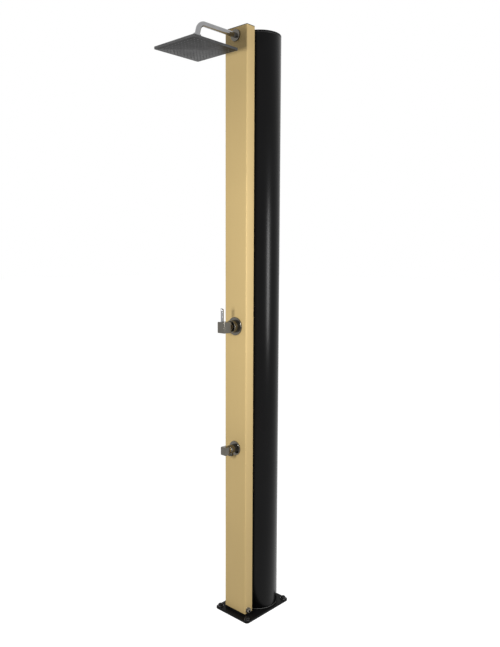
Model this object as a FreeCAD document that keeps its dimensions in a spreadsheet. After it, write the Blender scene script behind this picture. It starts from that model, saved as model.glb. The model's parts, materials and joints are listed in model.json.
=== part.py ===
# Outdoor shower post: a gold rectangular profile and a black round hot-water tank on one base plate.
# Millimetres, +Z up, origin on the floor at the centre of the base plate; the shower's front faces -Y.

import FreeCAD, Part
import math
import operator
import os
from types import SimpleNamespace

import Sketcher

os.makedirs("parts", exist_ok=True)
doc = FreeCAD.newDocument("shower_post")

# ---------------------------------------------------------------- driving sizes

driving_sizes = {
    # base plate and its ground fixings
    "plate_width": 173,
    "plate_depth": 244,
    "plate_thickness": 8,
    "plate_corner": 12,
    "plate_edge_chamfer": 1,
    "anchor_inset": 15,
    "anchor_hole_radius": 5.5,
    "washer_radius": 11,
    "washer_thickness": 2,
    "cap_radius": 10,
    "cap_height": 9,
    "cap_wall": 1.6,
    "cap_rounding": 4.5,
    "base_screw_radius": 3,
    "base_screw_length": 17,
    "base_screw_head_radius": 6,
    "base_screw_head_height": 3,
    "base_screw_sink": 0.4,
    # front profile
    "panel_width": 108,
    "panel_depth": 42,
    "panel_wall": 2,
    "panel_corner": 3.5,
    "panel_front": 99,
    "panel_lift": 17,
    "panel_top": 2200,
    "panel_cap_thickness": 2.5,
    "panel_cap_rim": 10,
    "panel_cap_rim_wall": 2,
    "foot_recess": 1,
    "foot_plug_height": 40,
    "profile_screw_radius": 2,
    "profile_screw_length": 14,
    "profile_screw_head_radius": 4,
    "profile_screw_head_height": 1.8,
    "profile_screw_offset": 40,
    "profile_screw_height": 46,
    # hot-water tank
    "tank_radius": 80,
    "tank_wall": 4,
    "tank_gap": 3.5,
    "tank_top": 2195,
    "tank_base_flange": 4,
    "tank_base_plug": 30,
    "tank_floor": 12,
    "tank_lid_flange": 6,
    "tank_lid_plug": 22,
    "tank_lid_rounding": 2,
    "tank_plug_wall": 5.7,
    "gasket_thickness": 2,
    "tank_screw_circle": 55,
    "drain_height": 60,
    "drain_thread_radius": 8.3,
    "drain_head_radius": 12,
    "drain_head_height": 6,
    "drain_washer_thickness": 2,
    "drain_spotface_radius": 13,
    "drain_spotface_depth": 1,
    # saddles between tank and profile
    "saddle_width": 60,
    "saddle_height": 40,
    "saddle_depth": 12,
    "saddle_low": 320,
    "saddle_middle": 1240,
    "saddle_high": 1980,
    "saddle_screw_offset": 22,
    "saddle_screw_radius": 2.2,
    "saddle_screw_length": 10,
    "saddle_screw_head_radius": 4,
    "saddle_screw_head_height": 2,
    "saddle_screw_seat": 3,
    # pipework inside the profile
    "pipe_radius": 6,
    "pipe_wall": 1,
    "pipe_offset": 22,
    "pipe_socket_depth": 10,
    "waterway_radius": 4,
    "cross_bore_radius": 3.4,
    "block_width": 48,
    "block_depth": 26,
    "block_height": 28,
    "block_reach": 13,
    "port_radius": 8.3,
    "port_depth": 13,
    "stub_bore_radius": 6,
    "stub_in_tank": 6,
    "tank_feed_height": 200,
    "hot_outlet_height": 2100,
    "inlet_height": 29.5,
    "inlet_thread_radius": 10.48,
    "inlet_thread_length": 10,
    "inlet_shank_radius": 9.5,
    "inlet_bore_radius": 4.5,
    "inlet_inner_end": 30,
    "inlet_washer_thickness": 2,
    "valve_spigot_radius": 9,
    "valve_spigot_length": 17,
    "valve_body_radius": 11,
    "valve_body_height": 38,
    "valve_socket_depth": 12,
    # mixer
    "mixer_height": 1130,
    "mixer_body_width": 70,
    "mixer_body_height": 48,
    "mixer_flange_radius": 34,
    "mixer_flange_thickness": 5,
    "mixer_flange_rounding": 1.5,
    "boss_radius": 20,
    "boss_length": 24,
    "collar_radius": 24,
    "collar_length": 28,
    "collar_front_wall": 2,
    "collar_opening_radius": 13,
    "collar_chamfer": 1.5,
    "cartridge_radius": 17.5,
    "cartridge_seat_depth": 6,
    "cartridge_length": 26,
    "cartridge_floor": 4,
    "cartridge_lip": 4,
    "disc_radius": 12.8,
    "disc_thickness": 3,
    "disc_port_radius": 2.5,
    "disc_feed_radius": 3.5,
    "disc_port_circle": 7,
    "rotor_radius": 12.9,
    "rotor_neck_radius": 10,
    "rotor_neck_length": 5,
    "pivot_depth": 13,
    "rotor_slot_height": 16,
    "rotor_slot_floor": 2,
    "rotor_pin_radius": 1.5,
    "rotor_pin_length": 22,
    "spindle_side": 8,
    "spindle_tail": 6,
    "spindle_in_handle": 12,
    "cartridge_nut_opening": 11,
    "handle_width": 36,
    "handle_height": 41,
    "handle_depth": 36,
    "handle_front": 76,
    "handle_rounding": 3,
    "handle_neck_radius": 8.5,
    "handle_neck_length": 6,
    "lever_width": 7,
    "lever_depth": 10,
    "lever_rise": 51.5,
    "lever_socket": 11,
    "lever_centre": 68.5,
    "lever_bevel": 5,
    "grub_radius": 2.5,
    "grub_recess": 1.5,
    # foot tap
    "foot_tap_height": 665,
    "foot_flange_radius": 27,
    "foot_flange_thickness": 5,
    "tap_radius": 16,
    "tap_length": 36,
    "tap_chamber_radius": 9,
    "tap_chamber_depth": 18,
    "outlet_station": 25,
    "outlet_neck_radius": 8.5,
    "outlet_thread_radius": 10.48,
    "outlet_thread_length": 8,
    "outlet_drop": 24.5,
    "outlet_bore_radius": 6,
    "headwork_flange_radius": 13,
    "headwork_flange_thickness": 3,
    "tap_spindle_radius": 4,
    "tap_spindle_tail": 12,
    "knob_width": 26,
    "knob_height": 31,
    "knob_depth": 24,
    "knob_front": 65,
    "knob_rounding": 2.5,
    "knob_socket_depth": 14,
    "knob_grub_radius": 2,
    # shower arm
    "arm_height": 2170,
    "arm_radius": 9,
    "arm_bore_radius": 7.5,
    "arm_nose_radius": 11,
    "arm_nose_length": 4,
    "arm_thread_bore_radius": 6.5,
    "arm_reach": 152,
    "arm_bend_radius": 30,
    "arm_lean": 15,
    "arm_drop": 30,
    "arm_end_radius": 10.4,
    "arm_end_length": 12,
    "ring_nut_radius": 17,
    "ring_nut_thickness": 4,
    "arm_flange_radius": 21,
    "arm_flange_depth": 6,
    "arm_flange_wall": 1.5,
    "arm_flange_rounding": 1,
    # ball joint
    "ball_radius": 9,
    "ball_neck_radius": 5,
    "ball_bore_radius": 3,
    "shell_radius": 10.95,
    "cup_bottom": 6,
    "cup_top": 1.6,
    "seal_bottom": 1,
    "seal_top": 8,
    "arm_end_above_ball": 11.3,
    "ball_nut_radius": 14,
    "ball_nut_above": 22,
    "ball_nut_below": 8,
    "ball_nut_mouth_radius": 10.8,
    "stud_base_radius": 8,
    "stud_boss_gap": 14.4,
    # shower head
    "head_side": 200,
    "head_thickness": 8,
    "head_corner": 4,
    "head_corner_cut": 1,
    "head_edge_rounding": 0.8,
    "head_wall": 2,
    "head_drop": 21,
    "head_boss_radius": 15,
    "head_face_thickness": 2.5,
    "mat_thickness": 1.5,
    "mat_margin": 5,
    "nozzle_rows": 12,
    "nozzle_pitch": 15.4,
    "nozzle_radius": 1.8,
    "nozzle_tip_radius": 1.3,
    "nozzle_reach": 1.5,
    # fits: radial or per-side clearances
    "thread_clearance": 0.05,
    "running_clearance": 0.05,
    "pass_clearance": 0.3,
    "loose_clearance": 0.15,
}

sheet = doc.addObject("Spreadsheet::Sheet", "Sizes")
for row, (alias, value) in enumerate(driving_sizes.items(), start=1):
    sheet.set(f"A{row}", alias)
    sheet.set(f"B{row}", str(value))
    sheet.setAlias(f"B{row}", alias)
doc.recompute()

operations = {
    "+": operator.add,
    "-": operator.sub,
    "*": operator.mul,
    "/": operator.truediv,
}


# A length or an angle: its number together with the sheet formula that the document keeps for it.
class Size:
    def __init__(self, value, formula):
        self.value = value
        self.formula = formula

    def __add__(self, other):
        return combined(self, "+", other)

    def __radd__(self, other):
        return combined(other, "+", self)

    def __sub__(self, other):
        return combined(self, "-", other)

    def __rsub__(self, other):
        return combined(other, "-", self)

    def __mul__(self, other):
        return combined(self, "*", other)

    def __rmul__(self, other):
        return combined(other, "*", self)

    def __truediv__(self, other):
        return combined(self, "/", other)

    def __neg__(self):
        return combined(0, "-", self)


def sized(number):
    if isinstance(number, Size):
        return number
    formula = repr(number) if number >= 0 else f"(0 - {-number!r})"
    return Size(number, formula)


def combined(left, sign, right):
    left = sized(left)
    right = sized(right)
    value = operations[sign](left.value, right.value)
    return Size(value, f"({left.formula} {sign} {right.formula})")


def sine(angle):
    return Size(math.sin(math.radians(angle.value)), f"sin({angle.formula})")


def cosine(angle):
    return Size(math.cos(math.radians(angle.value)), f"cos({angle.formula})")


def arctangent(ratio):
    return Size(math.degrees(math.atan(ratio.value)), f"atan({ratio.formula})")


s = SimpleNamespace(
    **{alias: Size(float(value), f"Sizes.{alias}") for alias, value in driving_sizes.items()}
)

# ---------------------------------------------------------------- shape helpers

turns = {
    "x": FreeCAD.Rotation(FreeCAD.Vector(0, 1, 0), 90),
    "y": FreeCAD.Rotation(FreeCAD.Vector(1, 0, 0), -90),
    "z": FreeCAD.Rotation(),
}
subparts = []


def bind(thing, **formulas):
    for name, size in formulas.items():
        thing.setExpression(name, sized(size).formula)


def put(thing, x, y, z, rotation=None):
    if rotation is not None:
        thing.Placement = FreeCAD.Placement(FreeCAD.Vector(), rotation)
    for letter, size in zip("xyz", (x, y, z)):
        thing.setExpression(f"Placement.Base.{letter}", sized(size).formula)
    return thing


def box(x, y, z):
    """A block between two x, two y and two z stations."""
    block = doc.addObject("Part::Box", "block")
    bind(block, Length=x[1] - x[0], Width=y[1] - y[0], Height=z[1] - z[0])
    return put(block, x[0], y[0], z[0])


def rod(axis, radius, start, end, across, up):
    """A round bar along an axis, from start to end; across and up place it on the other two axes."""
    bar = doc.addObject("Part::Cylinder", "bar")
    bind(bar, Radius=radius, Height=end - start)
    spots = {"x": (start, across, up), "y": (across, start, up), "z": (across, up, start)}
    return put(bar, *spots[axis], rotation=turns[axis])


def cone(start_radius, end_radius, start, end, x, y):
    """An upright cone between two heights."""
    taper = doc.addObject("Part::Cone", "taper")
    bind(taper, Radius1=start_radius, Radius2=end_radius, Height=end - start)
    return put(taper, x, y, start)


def ball(radius, centre):
    sphere = doc.addObject("Part::Sphere", "ball")
    bind(sphere, Radius=radius)
    return put(sphere, *centre)


def fused(*pieces):
    if len(pieces) == 1:
        return pieces[0]
    union = doc.addObject("Part::MultiFuse", "union")
    union.Shapes = list(pieces)
    union.Refine = True
    return union


def cut(base, *tools):
    result = doc.addObject("Part::Cut", "cut")
    result.Base = base
    result.Tool = fused(*tools)
    return result


def shared(first, second):
    result = doc.addObject("Part::Common", "shared")
    result.Base = first
    result.Tool = second
    return result


def grouped(pieces):
    group = doc.addObject("Part::Compound", "group")
    group.Links = list(pieces)
    return group


def straight_edges(shape, direction):
    """Numbers of the straight edges that run along a direction."""
    found = []
    for number, edge in enumerate(shape.Edges, start=1):
        if edge.Curve.TypeId != "Part::GeomLine":
            continue
        if abs(edge.tangentAt(edge.FirstParameter).dot(direction)) > 0.999:
            found.append(number)
    return found


def edges_at(shape, axis, station, reach=1e-4):
    """Numbers of the edges that lie wholly in the plane across an axis at a station."""
    found = []
    for number, edge in enumerate(shape.Edges, start=1):
        bounds = edge.BoundBox
        low = getattr(bounds, axis.upper() + "Min")
        high = getattr(bounds, axis.upper() + "Max")
        if abs(low - station.value) < reach and abs(high - station.value) < reach:
            found.append(number)
    return found


def rounded(base, radius, numbers):
    doc.recompute()
    fillet = doc.addObject("Part::Fillet", "rounding")
    fillet.Base = base
    fillet.Edges = [(number, radius.value, radius.value) for number in numbers]
    return fillet


def chamfered(base, leg, numbers):
    doc.recompute()
    bevel = doc.addObject("Part::Chamfer", "bevel")
    bevel.Base = base
    bevel.Edges = [(number, leg.value, leg.value) for number in numbers]
    return bevel


def upright_rounded(base, radius):
    """Rounds the upright edges of a block."""
    doc.recompute()
    return rounded(base, radius, straight_edges(base.Shape, FreeCAD.Vector(0, 0, 1)))


def block_edges_rounded(base, radius):
    doc.recompute()
    return rounded(base, radius, range(1, len(base.Shape.Edges) + 1))


def origin_plane(body, role):
    return next(feature for feature in body.Origin.OriginFeatures if feature.Role == role)


def outline_sketch(body, role, corners):
    """A closed outline of straight lines; each corner is held from the sketch's origin by two sizes."""
    sketch = body.newObject("Sketcher::SketchObject", "outline")
    sketch.AttachmentSupport = [(origin_plane(body, role), "")]
    sketch.MapMode = "FlatFace"
    corners = [(sized(across), sized(along)) for across, along in corners]
    spots = [FreeCAD.Vector(across.value, along.value, 0) for across, along in corners]
    count = len(spots)
    for number in range(count):
        sketch.addGeometry(Part.LineSegment(spots[number], spots[(number + 1) % count]), False)
    for number in range(count):
        sketch.addConstraint(Sketcher.Constraint("Coincident", number, 2, (number + 1) % count, 1))
    for number, corner in enumerate(corners):
        for kind, size in zip(("DistanceX", "DistanceY"), corner):
            index = sketch.addConstraint(Sketcher.Constraint(kind, -1, 1, number, 1, size.value))
            sketch.setExpression(f"Constraints[{index}]", size.formula)
    return sketch


def turned(corners, x=0, y=0, z=0, rotation=None):
    """A body turned about its own Z axis from an outline of (radius, height) corners, then put in place."""
    body = doc.addObject("PartDesign::Body", "turned")
    spin = body.newObject("PartDesign::Revolution", "spin")
    spin.Profile = outline_sketch(body, "XZ_Plane", corners)
    spin.ReferenceAxis = (spin.Profile[0], ["V_Axis"])
    spin.Angle = 360
    body.Tip = spin
    return put(body, x, y, z, rotation)


def ring(inner, outer, bottom, top):
    return [(inner, bottom), (outer, bottom), (outer, top), (inner, top)]


def screw(radius, length, head_radius, head_height):
    """The outline of a screw whose head sits on the origin, with its shank below."""
    return [
        (0, -length),
        (radius, -length),
        (radius, 0),
        (head_radius, 0),
        (head_radius, head_height),
        (0, head_height),
    ]


def plate_ring(inner, outer, front, rounding):
    """The outline of a cover plate with its front edge taken off."""
    return [(inner, 0), (outer, 0), (outer, front - rounding), (outer - rounding, front), (inner, front)]


def keep(label, piece):
    """Names a finished sub-part."""
    piece.Label = label
    subparts.append(piece)
    return piece


# ---------------------------------------------------------------- shared stations

zero = sized(0)
quarter = Size(45.0, "45")
panel_face = -s.panel_front
panel_back = panel_face + s.panel_depth
inner_front = panel_face + s.panel_wall
inner_back = panel_back - s.panel_wall
panel_half = s.panel_width / 2
inner_half = panel_half - s.panel_wall
profile_top = s.panel_top - s.panel_cap_thickness
tank_y = panel_back + s.tank_gap + s.tank_radius
tank_bore = s.tank_radius - s.tank_wall
tank_plug_radius = tank_bore - s.pass_clearance
pipe_y = inner_front + s.block_depth / 2
pipe_hole = s.pipe_radius + s.thread_clearance
front_turn = FreeCAD.Rotation(FreeCAD.Vector(1, 0, 0), 90)


def ahead(distance):
    """The y station a distance in front of the profile's face."""
    return panel_face - distance


def corner_spots(half_width, half_depth):
    return [(side * half_width, end * half_depth) for end in (-1, 1) for side in (-1, 1)]


# ---------------------------------------------------------------- base plate and ground fixings

anchor_spots = corner_spots(
    s.plate_width / 2 - s.anchor_inset,
    s.plate_depth / 2 - s.anchor_inset,
)
diagonal = s.tank_screw_circle * cosine(quarter)
tank_screw_spots = [(x, tank_y + y) for x, y in corner_spots(diagonal, diagonal)]
foot_screw_x = s.panel_width / 4
foot_screw_y = (panel_face + panel_back) / 2
foot_screw_spots = [(-foot_screw_x, foot_screw_y), (foot_screw_x, foot_screw_y)]
base_screw_spots = tank_screw_spots + foot_screw_spots
screw_top = s.base_screw_sink + s.base_screw_length


def make_base_plate():
    half_width = s.plate_width / 2
    half_depth = s.plate_depth / 2
    slab = box((-half_width, half_width), (-half_depth, half_depth), (zero, s.plate_thickness))
    slab = upright_rounded(slab, s.plate_corner)
    doc.recompute()
    slab = chamfered(slab, s.plate_edge_chamfer, edges_at(slab.Shape, "z", s.plate_thickness))
    below = sized(-1)
    above = s.plate_thickness + 1
    clear = s.base_screw_radius + s.pass_clearance
    seat = s.base_screw_head_radius + s.pass_clearance
    seat_top = s.base_screw_sink + s.base_screw_head_height
    holes = [rod("z", s.anchor_hole_radius, below, above, x, y) for x, y in anchor_spots]
    for x, y in base_screw_spots:
        holes.append(rod("z", clear, below, above, x, y))
        holes.append(cone(seat, clear, s.base_screw_sink, seat_top, x, y))
        holes.append(rod("z", seat, below, s.base_screw_sink, x, y))
    keep("base_plate", cut(slab, *holes))


def make_anchor_covers():
    washer_top = s.plate_thickness + s.washer_thickness
    washers = []
    caps = []
    cap_top = washer_top + s.cap_height
    washer = ring(s.anchor_hole_radius, s.washer_radius, s.plate_thickness, washer_top)
    for x, y in anchor_spots:
        washers.append(turned(washer, x, y))
        dome = rod("z", s.cap_radius, washer_top, cap_top, x, y)
        doc.recompute()
        dome = rounded(dome, s.cap_rounding, edges_at(dome.Shape, "z", cap_top))
        hollow = rod("z", s.cap_radius - s.cap_wall, washer_top - 1, cap_top - s.cap_rounding, x, y)
        caps.append(cut(dome, hollow))
    keep("anchor_washers", grouped(washers))
    keep("anchor_caps", grouped(caps))


def make_base_screws():
    screws = []
    for x, y in base_screw_spots:
        head_top = s.base_screw_sink + s.base_screw_head_height
        corners = [
            (0, s.base_screw_sink),
            (s.base_screw_head_radius, s.base_screw_sink),
            (s.base_screw_radius, head_top),
            (s.base_screw_radius, screw_top),
            (0, screw_top),
        ]
        screws.append(turned(corners, x, y))
    keep("base_screws", grouped(screws))


# ---------------------------------------------------------------- foot block, profile and its cap

foot_top = s.panel_lift + s.foot_plug_height
inlet_bore_hole = s.inlet_shank_radius + s.thread_clearance
washer_seat = s.inlet_inner_end - s.inlet_washer_thickness
valve_seat = foot_top - s.valve_spigot_length
profile_screw_spots = [(side * s.profile_screw_offset, s.profile_screw_height) for side in (-1, 1)]


def make_foot_block():
    half = panel_half - s.foot_recess
    plug_half = inner_half - s.pass_clearance
    base = box(
        (-half, half),
        (panel_face + s.foot_recess, panel_back - s.foot_recess),
        (s.plate_thickness, s.panel_lift),
    )
    plug = box(
        (-plug_half, plug_half),
        (inner_front + s.pass_clearance, inner_back - s.pass_clearance),
        (s.panel_lift, foot_top),
    )
    plug = upright_rounded(plug, s.panel_corner - s.panel_wall)
    bore_low = s.inlet_height - s.waterway_radius
    tapped = s.base_screw_radius + s.thread_clearance
    valve_hole = s.valve_spigot_radius + s.thread_clearance
    tools = [
        rod("x", inlet_bore_hole, washer_seat, plug_half + 1, pipe_y, s.inlet_height),
        rod("x", s.cross_bore_radius, s.pipe_offset, washer_seat, pipe_y, s.inlet_height),
        rod("z", s.waterway_radius, bore_low, valve_seat, s.pipe_offset, pipe_y),
        rod("z", valve_hole, valve_seat, foot_top + 1, s.pipe_offset, pipe_y),
    ]
    for x, y in foot_screw_spots:
        tools.append(rod("z", tapped, s.plate_thickness - 1, screw_top + 1, x, y))
    screw_end = panel_back - s.profile_screw_length
    for x, z in profile_screw_spots:
        tools.append(rod("y", s.profile_screw_radius + s.thread_clearance, screw_end, inner_back, x, z))
    keep("foot_block", cut(fused(base, plug), *tools))


def make_profile_screws():
    corners = screw(
        s.profile_screw_radius,
        s.profile_screw_length,
        s.profile_screw_head_radius,
        s.profile_screw_head_height,
    )
    screws = [turned(corners, x, panel_back, z, turns["y"]) for x, z in profile_screw_spots]
    keep("profile_screws", grouped(screws))


saddle_heights = (s.saddle_low, s.saddle_middle, s.saddle_high)
saddle_screw_spots = [(side * s.saddle_screw_offset, z) for z in saddle_heights for side in (-1, 1)]


def make_front_profile():
    outer = box((-panel_half, panel_half), (panel_face, panel_back), (s.panel_lift, profile_top))
    outer = upright_rounded(outer, s.panel_corner)
    inner = box((-inner_half, inner_half), (inner_front, inner_back), (s.panel_lift - 1, profile_top + 1))
    inner = upright_rounded(inner, s.panel_corner - s.panel_wall)
    past_face = panel_face - 1
    past_back = panel_back + 1
    port_hole = s.port_radius + s.pass_clearance
    inlet_hole = s.inlet_shank_radius + s.pass_clearance
    tools = [
        inner,
        rod("y", s.boss_radius + s.pass_clearance, past_face, inner_front + 1, zero, s.mixer_height),
        rod("y", port_hole, past_face, inner_front + 1, zero, s.foot_tap_height),
        rod("y", s.arm_nose_radius + s.pass_clearance, past_face, inner_front + 1, zero, s.arm_height),
        rod("y", port_hole, inner_back - 1, past_back, zero, s.tank_feed_height),
        rod("y", port_hole, inner_back - 1, past_back, zero, s.hot_outlet_height),
        rod("x", inlet_hole, inner_half - 1, panel_half + 1, pipe_y, s.inlet_height),
    ]
    for x, z in profile_screw_spots:
        tools.append(rod("y", s.profile_screw_radius + s.loose_clearance, inner_back - 1, past_back, x, z))
    for x, z in saddle_screw_spots:
        tools.append(rod("y", s.saddle_screw_radius + s.thread_clearance, inner_back - 1, past_back, x, z))
    keep("front_profile", cut(outer, *tools))


def make_profile_cap():
    lid = box((-panel_half, panel_half), (panel_face, panel_back), (profile_top, s.panel_top))
    lid = upright_rounded(lid, s.panel_corner)
    rim_half = inner_half - s.pass_clearance
    rim_front = inner_front + s.pass_clearance
    rim_back = inner_back - s.pass_clearance
    rim_bottom = profile_top - s.panel_cap_rim
    rim = box((-rim_half, rim_half), (rim_front, rim_back), (rim_bottom, profile_top))
    rim = upright_rounded(rim, s.panel_corner - s.panel_wall)
    wall = s.panel_cap_rim_wall
    hollow = box(
        (-rim_half + wall, rim_half - wall),
        (rim_front + wall, rim_back - wall),
        (rim_bottom - 1, profile_top),
    )
    keep("profile_cap", cut(fused(lid, rim), hollow))


# ---------------------------------------------------------------- hot-water tank

tank_rim_low = s.plate_thickness + s.tank_base_flange
tube_low = tank_rim_low + s.gasket_thickness
lid_low = s.tank_top - s.tank_lid_flange
tube_high = lid_low - s.gasket_thickness
stub_inner_end = tank_y - tank_bore + s.stub_in_tank
drain_seat_y = tank_y + s.tank_radius - s.drain_spotface_depth
stub_hole = s.port_radius + s.thread_clearance


def make_tank():
    inner = tank_plug_radius - s.tank_plug_wall
    floor_top = s.plate_thickness + s.tank_floor
    plug_top = tank_rim_low + s.tank_base_plug
    corners = [
        (0, s.plate_thickness),
        (s.tank_radius, s.plate_thickness),
        (s.tank_radius, tank_rim_low),
        (tank_plug_radius, tank_rim_low),
        (tank_plug_radius, plug_top),
        (inner, plug_top),
        (inner, floor_top),
        (0, floor_top),
    ]
    tapped = s.base_screw_radius + s.thread_clearance
    holes = [rod("z", tapped, s.plate_thickness - 1, screw_top + 1, x, y) for x, y in tank_screw_spots]
    keep("tank_base", cut(turned(corners, 0, tank_y), *holes))
    gasket_inner = tank_plug_radius + s.loose_clearance
    keep("tank_base_gasket", turned(ring(gasket_inner, s.tank_radius, tank_rim_low, tube_low), 0, tank_y))

    front = tank_y - s.tank_radius
    drain_hole = s.drain_thread_radius + s.thread_clearance
    tube = cut(
        turned(ring(tank_bore, s.tank_radius, tube_low, tube_high), 0, tank_y),
        rod("y", stub_hole, front - 1, stub_inner_end, zero, s.tank_feed_height),
        rod("y", stub_hole, front - 1, stub_inner_end, zero, s.hot_outlet_height),
        rod("y", drain_hole, tank_y, drain_seat_y + 1, zero, s.drain_height),
        rod("y", s.drain_spotface_radius, drain_seat_y, drain_seat_y + s.tank_wall, zero, s.drain_height),
    )
    keep("tank_tube", tube)
    keep("tank_lid_gasket", turned(ring(gasket_inner, s.tank_radius, tube_high, lid_low), 0, tank_y))
    plug_low = lid_low - s.tank_lid_plug
    lid_corners = [
        (0, lid_low),
        (inner, lid_low),
        (inner, plug_low),
        (tank_plug_radius, plug_low),
        (tank_plug_radius, lid_low),
        (s.tank_radius, lid_low),
        (s.tank_radius, s.tank_top - s.tank_lid_rounding),
        (s.tank_radius - s.tank_lid_rounding, s.tank_top),
        (0, s.tank_top),
    ]
    keep("tank_lid", turned(lid_corners, 0, tank_y))


def make_drain():
    washer_top = s.drain_washer_thickness
    washer = ring(s.drain_thread_radius + s.thread_clearance, s.drain_head_radius, 0, washer_top)
    keep("drain_washer", turned(washer, 0, drain_seat_y, s.drain_height, turns["y"]))
    thread = s.tank_wall + s.drain_washer_thickness + washer_top
    corners = screw(s.drain_thread_radius, thread, s.drain_head_radius, s.drain_head_height)
    keep("drain_plug", turned(corners, 0, drain_seat_y + washer_top, s.drain_height, turns["y"]))


def make_saddles():
    saddles = []
    half_width = s.saddle_width / 2
    half_height = s.saddle_height / 2
    round_seat = s.tank_radius + s.loose_clearance
    shank_hole = s.saddle_screw_radius + s.thread_clearance
    head_hole = s.saddle_screw_head_radius + s.loose_clearance
    head_seat = panel_back + s.saddle_screw_seat
    for z in saddle_heights:
        pad = box(
            (-half_width, half_width),
            (panel_back, panel_back + s.saddle_depth),
            (z - half_height, z + half_height),
        )
        tools = [rod("z", round_seat, z - half_height - 1, z + half_height + 1, zero, tank_y)]
        for x in (-s.saddle_screw_offset, s.saddle_screw_offset):
            tools.append(rod("y", shank_hole, panel_back - 1, head_seat, x, z))
            tools.append(rod("y", head_hole, head_seat, head_seat + s.saddle_depth, x, z))
        saddles.append(cut(pad, *tools))
    keep("tank_saddles", grouped(saddles))

    corners = screw(
        s.saddle_screw_radius,
        s.saddle_screw_length,
        s.saddle_screw_head_radius,
        s.saddle_screw_head_height,
    )
    screws = [turned(corners, x, head_seat, z, turns["y"]) for x, z in saddle_screw_spots]
    keep("saddle_screws", grouped(screws))


# ---------------------------------------------------------------- pipework inside the profile


def make_inlet():
    corners = [
        (s.inlet_bore_radius, s.inlet_inner_end),
        (s.inlet_shank_radius, s.inlet_inner_end),
        (s.inlet_shank_radius, panel_half),
        (s.inlet_thread_radius, panel_half),
        (s.inlet_thread_radius, panel_half + s.inlet_thread_length),
        (s.inlet_bore_radius, panel_half + s.inlet_thread_length),
    ]
    keep("hose_inlet", turned(corners, 0, pipe_y, s.inlet_height, turns["x"]))
    washer = ring(s.inlet_bore_radius, s.inlet_shank_radius, washer_seat, s.inlet_inner_end)
    keep("inlet_washer", turned(washer, 0, pipe_y, s.inlet_height, turns["x"]))

    body_top = foot_top + s.valve_body_height
    socket = body_top - s.valve_socket_depth
    corners = [
        (s.waterway_radius, valve_seat),
        (s.valve_spigot_radius, valve_seat),
        (s.valve_spigot_radius, foot_top),
        (s.valve_body_radius, foot_top),
        (s.valve_body_radius, body_top),
        (pipe_hole, body_top),
        (pipe_hole, socket),
        (s.waterway_radius, socket),
    ]
    keep("check_valve", turned(corners, s.pipe_offset, pipe_y))
    return socket


def block_ends(height, half_height):
    """Where the pipes end in a block's lower and upper sockets."""
    return height - half_height + s.pipe_socket_depth, height + half_height - s.pipe_socket_depth


def make_pipe(label, side, start, end):
    wall = ring(s.pipe_radius - s.pipe_wall, s.pipe_radius, start, end)
    keep(label, turned(wall, side * s.pipe_offset, pipe_y))


def fitting(side, height, faces_front, sockets, nose=None):
    """A brass block with a pipe socket below or above on one side and a threaded port at the middle."""
    reach = s.block_width - s.block_reach
    span = (-s.block_reach, reach) if side > 0 else (-reach, s.block_reach)
    half = s.block_height / 2
    back = inner_front + s.block_depth
    block = box(span, (inner_front, back), (height - half, height + half))
    if nose is not None:
        block = fused(block, nose)
    pipe_x = side * s.pipe_offset
    across = (zero, pipe_x) if side > 0 else (pipe_x, zero)
    low, high = block_ends(height, half)
    passage_low = low if "below" in sockets else height - s.waterway_radius
    passage_high = high if "above" in sockets else height + s.waterway_radius
    tools = [
        rod("x", s.cross_bore_radius, across[0], across[1], pipe_y, height),
        rod("z", s.waterway_radius, passage_low, passage_high, pipe_x, pipe_y),
    ]
    if "below" in sockets:
        tools.append(rod("z", pipe_hole, height - half - 1, low, pipe_x, pipe_y))
    if "above" in sockets:
        tools.append(rod("z", pipe_hole, high, height + half + 1, pipe_x, pipe_y))
    port = s.port_radius + s.thread_clearance
    if faces_front:
        tools.append(rod("y", port, ahead(s.arm_nose_length) - 1, pipe_y, zero, height))
    else:
        tools.append(rod("y", port, pipe_y, back + 1, zero, height))
    return cut(block, *tools)


def make_stub(label, height):
    """A short pipe from the tank's wall into a fitting's port."""
    start = inner_front + s.block_depth - s.port_depth + s.pass_clearance
    corners = ring(s.stub_bore_radius, s.port_radius, start, stub_inner_end)
    keep(label, turned(corners, 0, 0, height, turns["y"]))


def make_pipework():
    valve_socket = make_inlet()
    half = s.block_height / 2
    feed_low, feed_high = block_ends(s.tank_feed_height, half)
    tap_low, tap_high = block_ends(s.foot_tap_height, half)
    mixer_low, mixer_high = block_ends(s.mixer_height, s.mixer_body_height / 2)
    hot_low, _ = block_ends(s.hot_outlet_height, half)
    arm_low, _ = block_ends(s.arm_height, half)
    make_pipe("cold_pipe_lower", 1, valve_socket, feed_low)
    keep("tank_feed_tee", fitting(1, s.tank_feed_height, False, ("below", "above")))
    make_pipe("cold_pipe_middle", 1, feed_high, tap_low)
    keep("foot_tap_tee", fitting(1, s.foot_tap_height, True, ("below", "above")))
    make_pipe("cold_pipe_upper", 1, tap_high, mixer_low)
    make_pipe("hot_pipe", -1, mixer_high, hot_low)
    keep("hot_elbow", fitting(-1, s.hot_outlet_height, False, ("below",)))
    make_pipe("mixed_riser", 1, mixer_high, arm_low)
    nose = rod("y", s.arm_nose_radius, ahead(s.arm_nose_length), inner_front + 1, zero, s.arm_height)
    keep("arm_elbow", fitting(1, s.arm_height, True, ("below",), nose))
    nut = ring(s.arm_nose_radius + s.thread_clearance, s.ring_nut_radius, zero, s.ring_nut_thickness)
    keep("arm_ring_nut", turned(nut, 0, panel_face, s.arm_height, front_turn))
    make_stub("tank_feed_stub", s.tank_feed_height)
    make_stub("hot_stub", s.hot_outlet_height)


# ---------------------------------------------------------------- mixer

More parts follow.
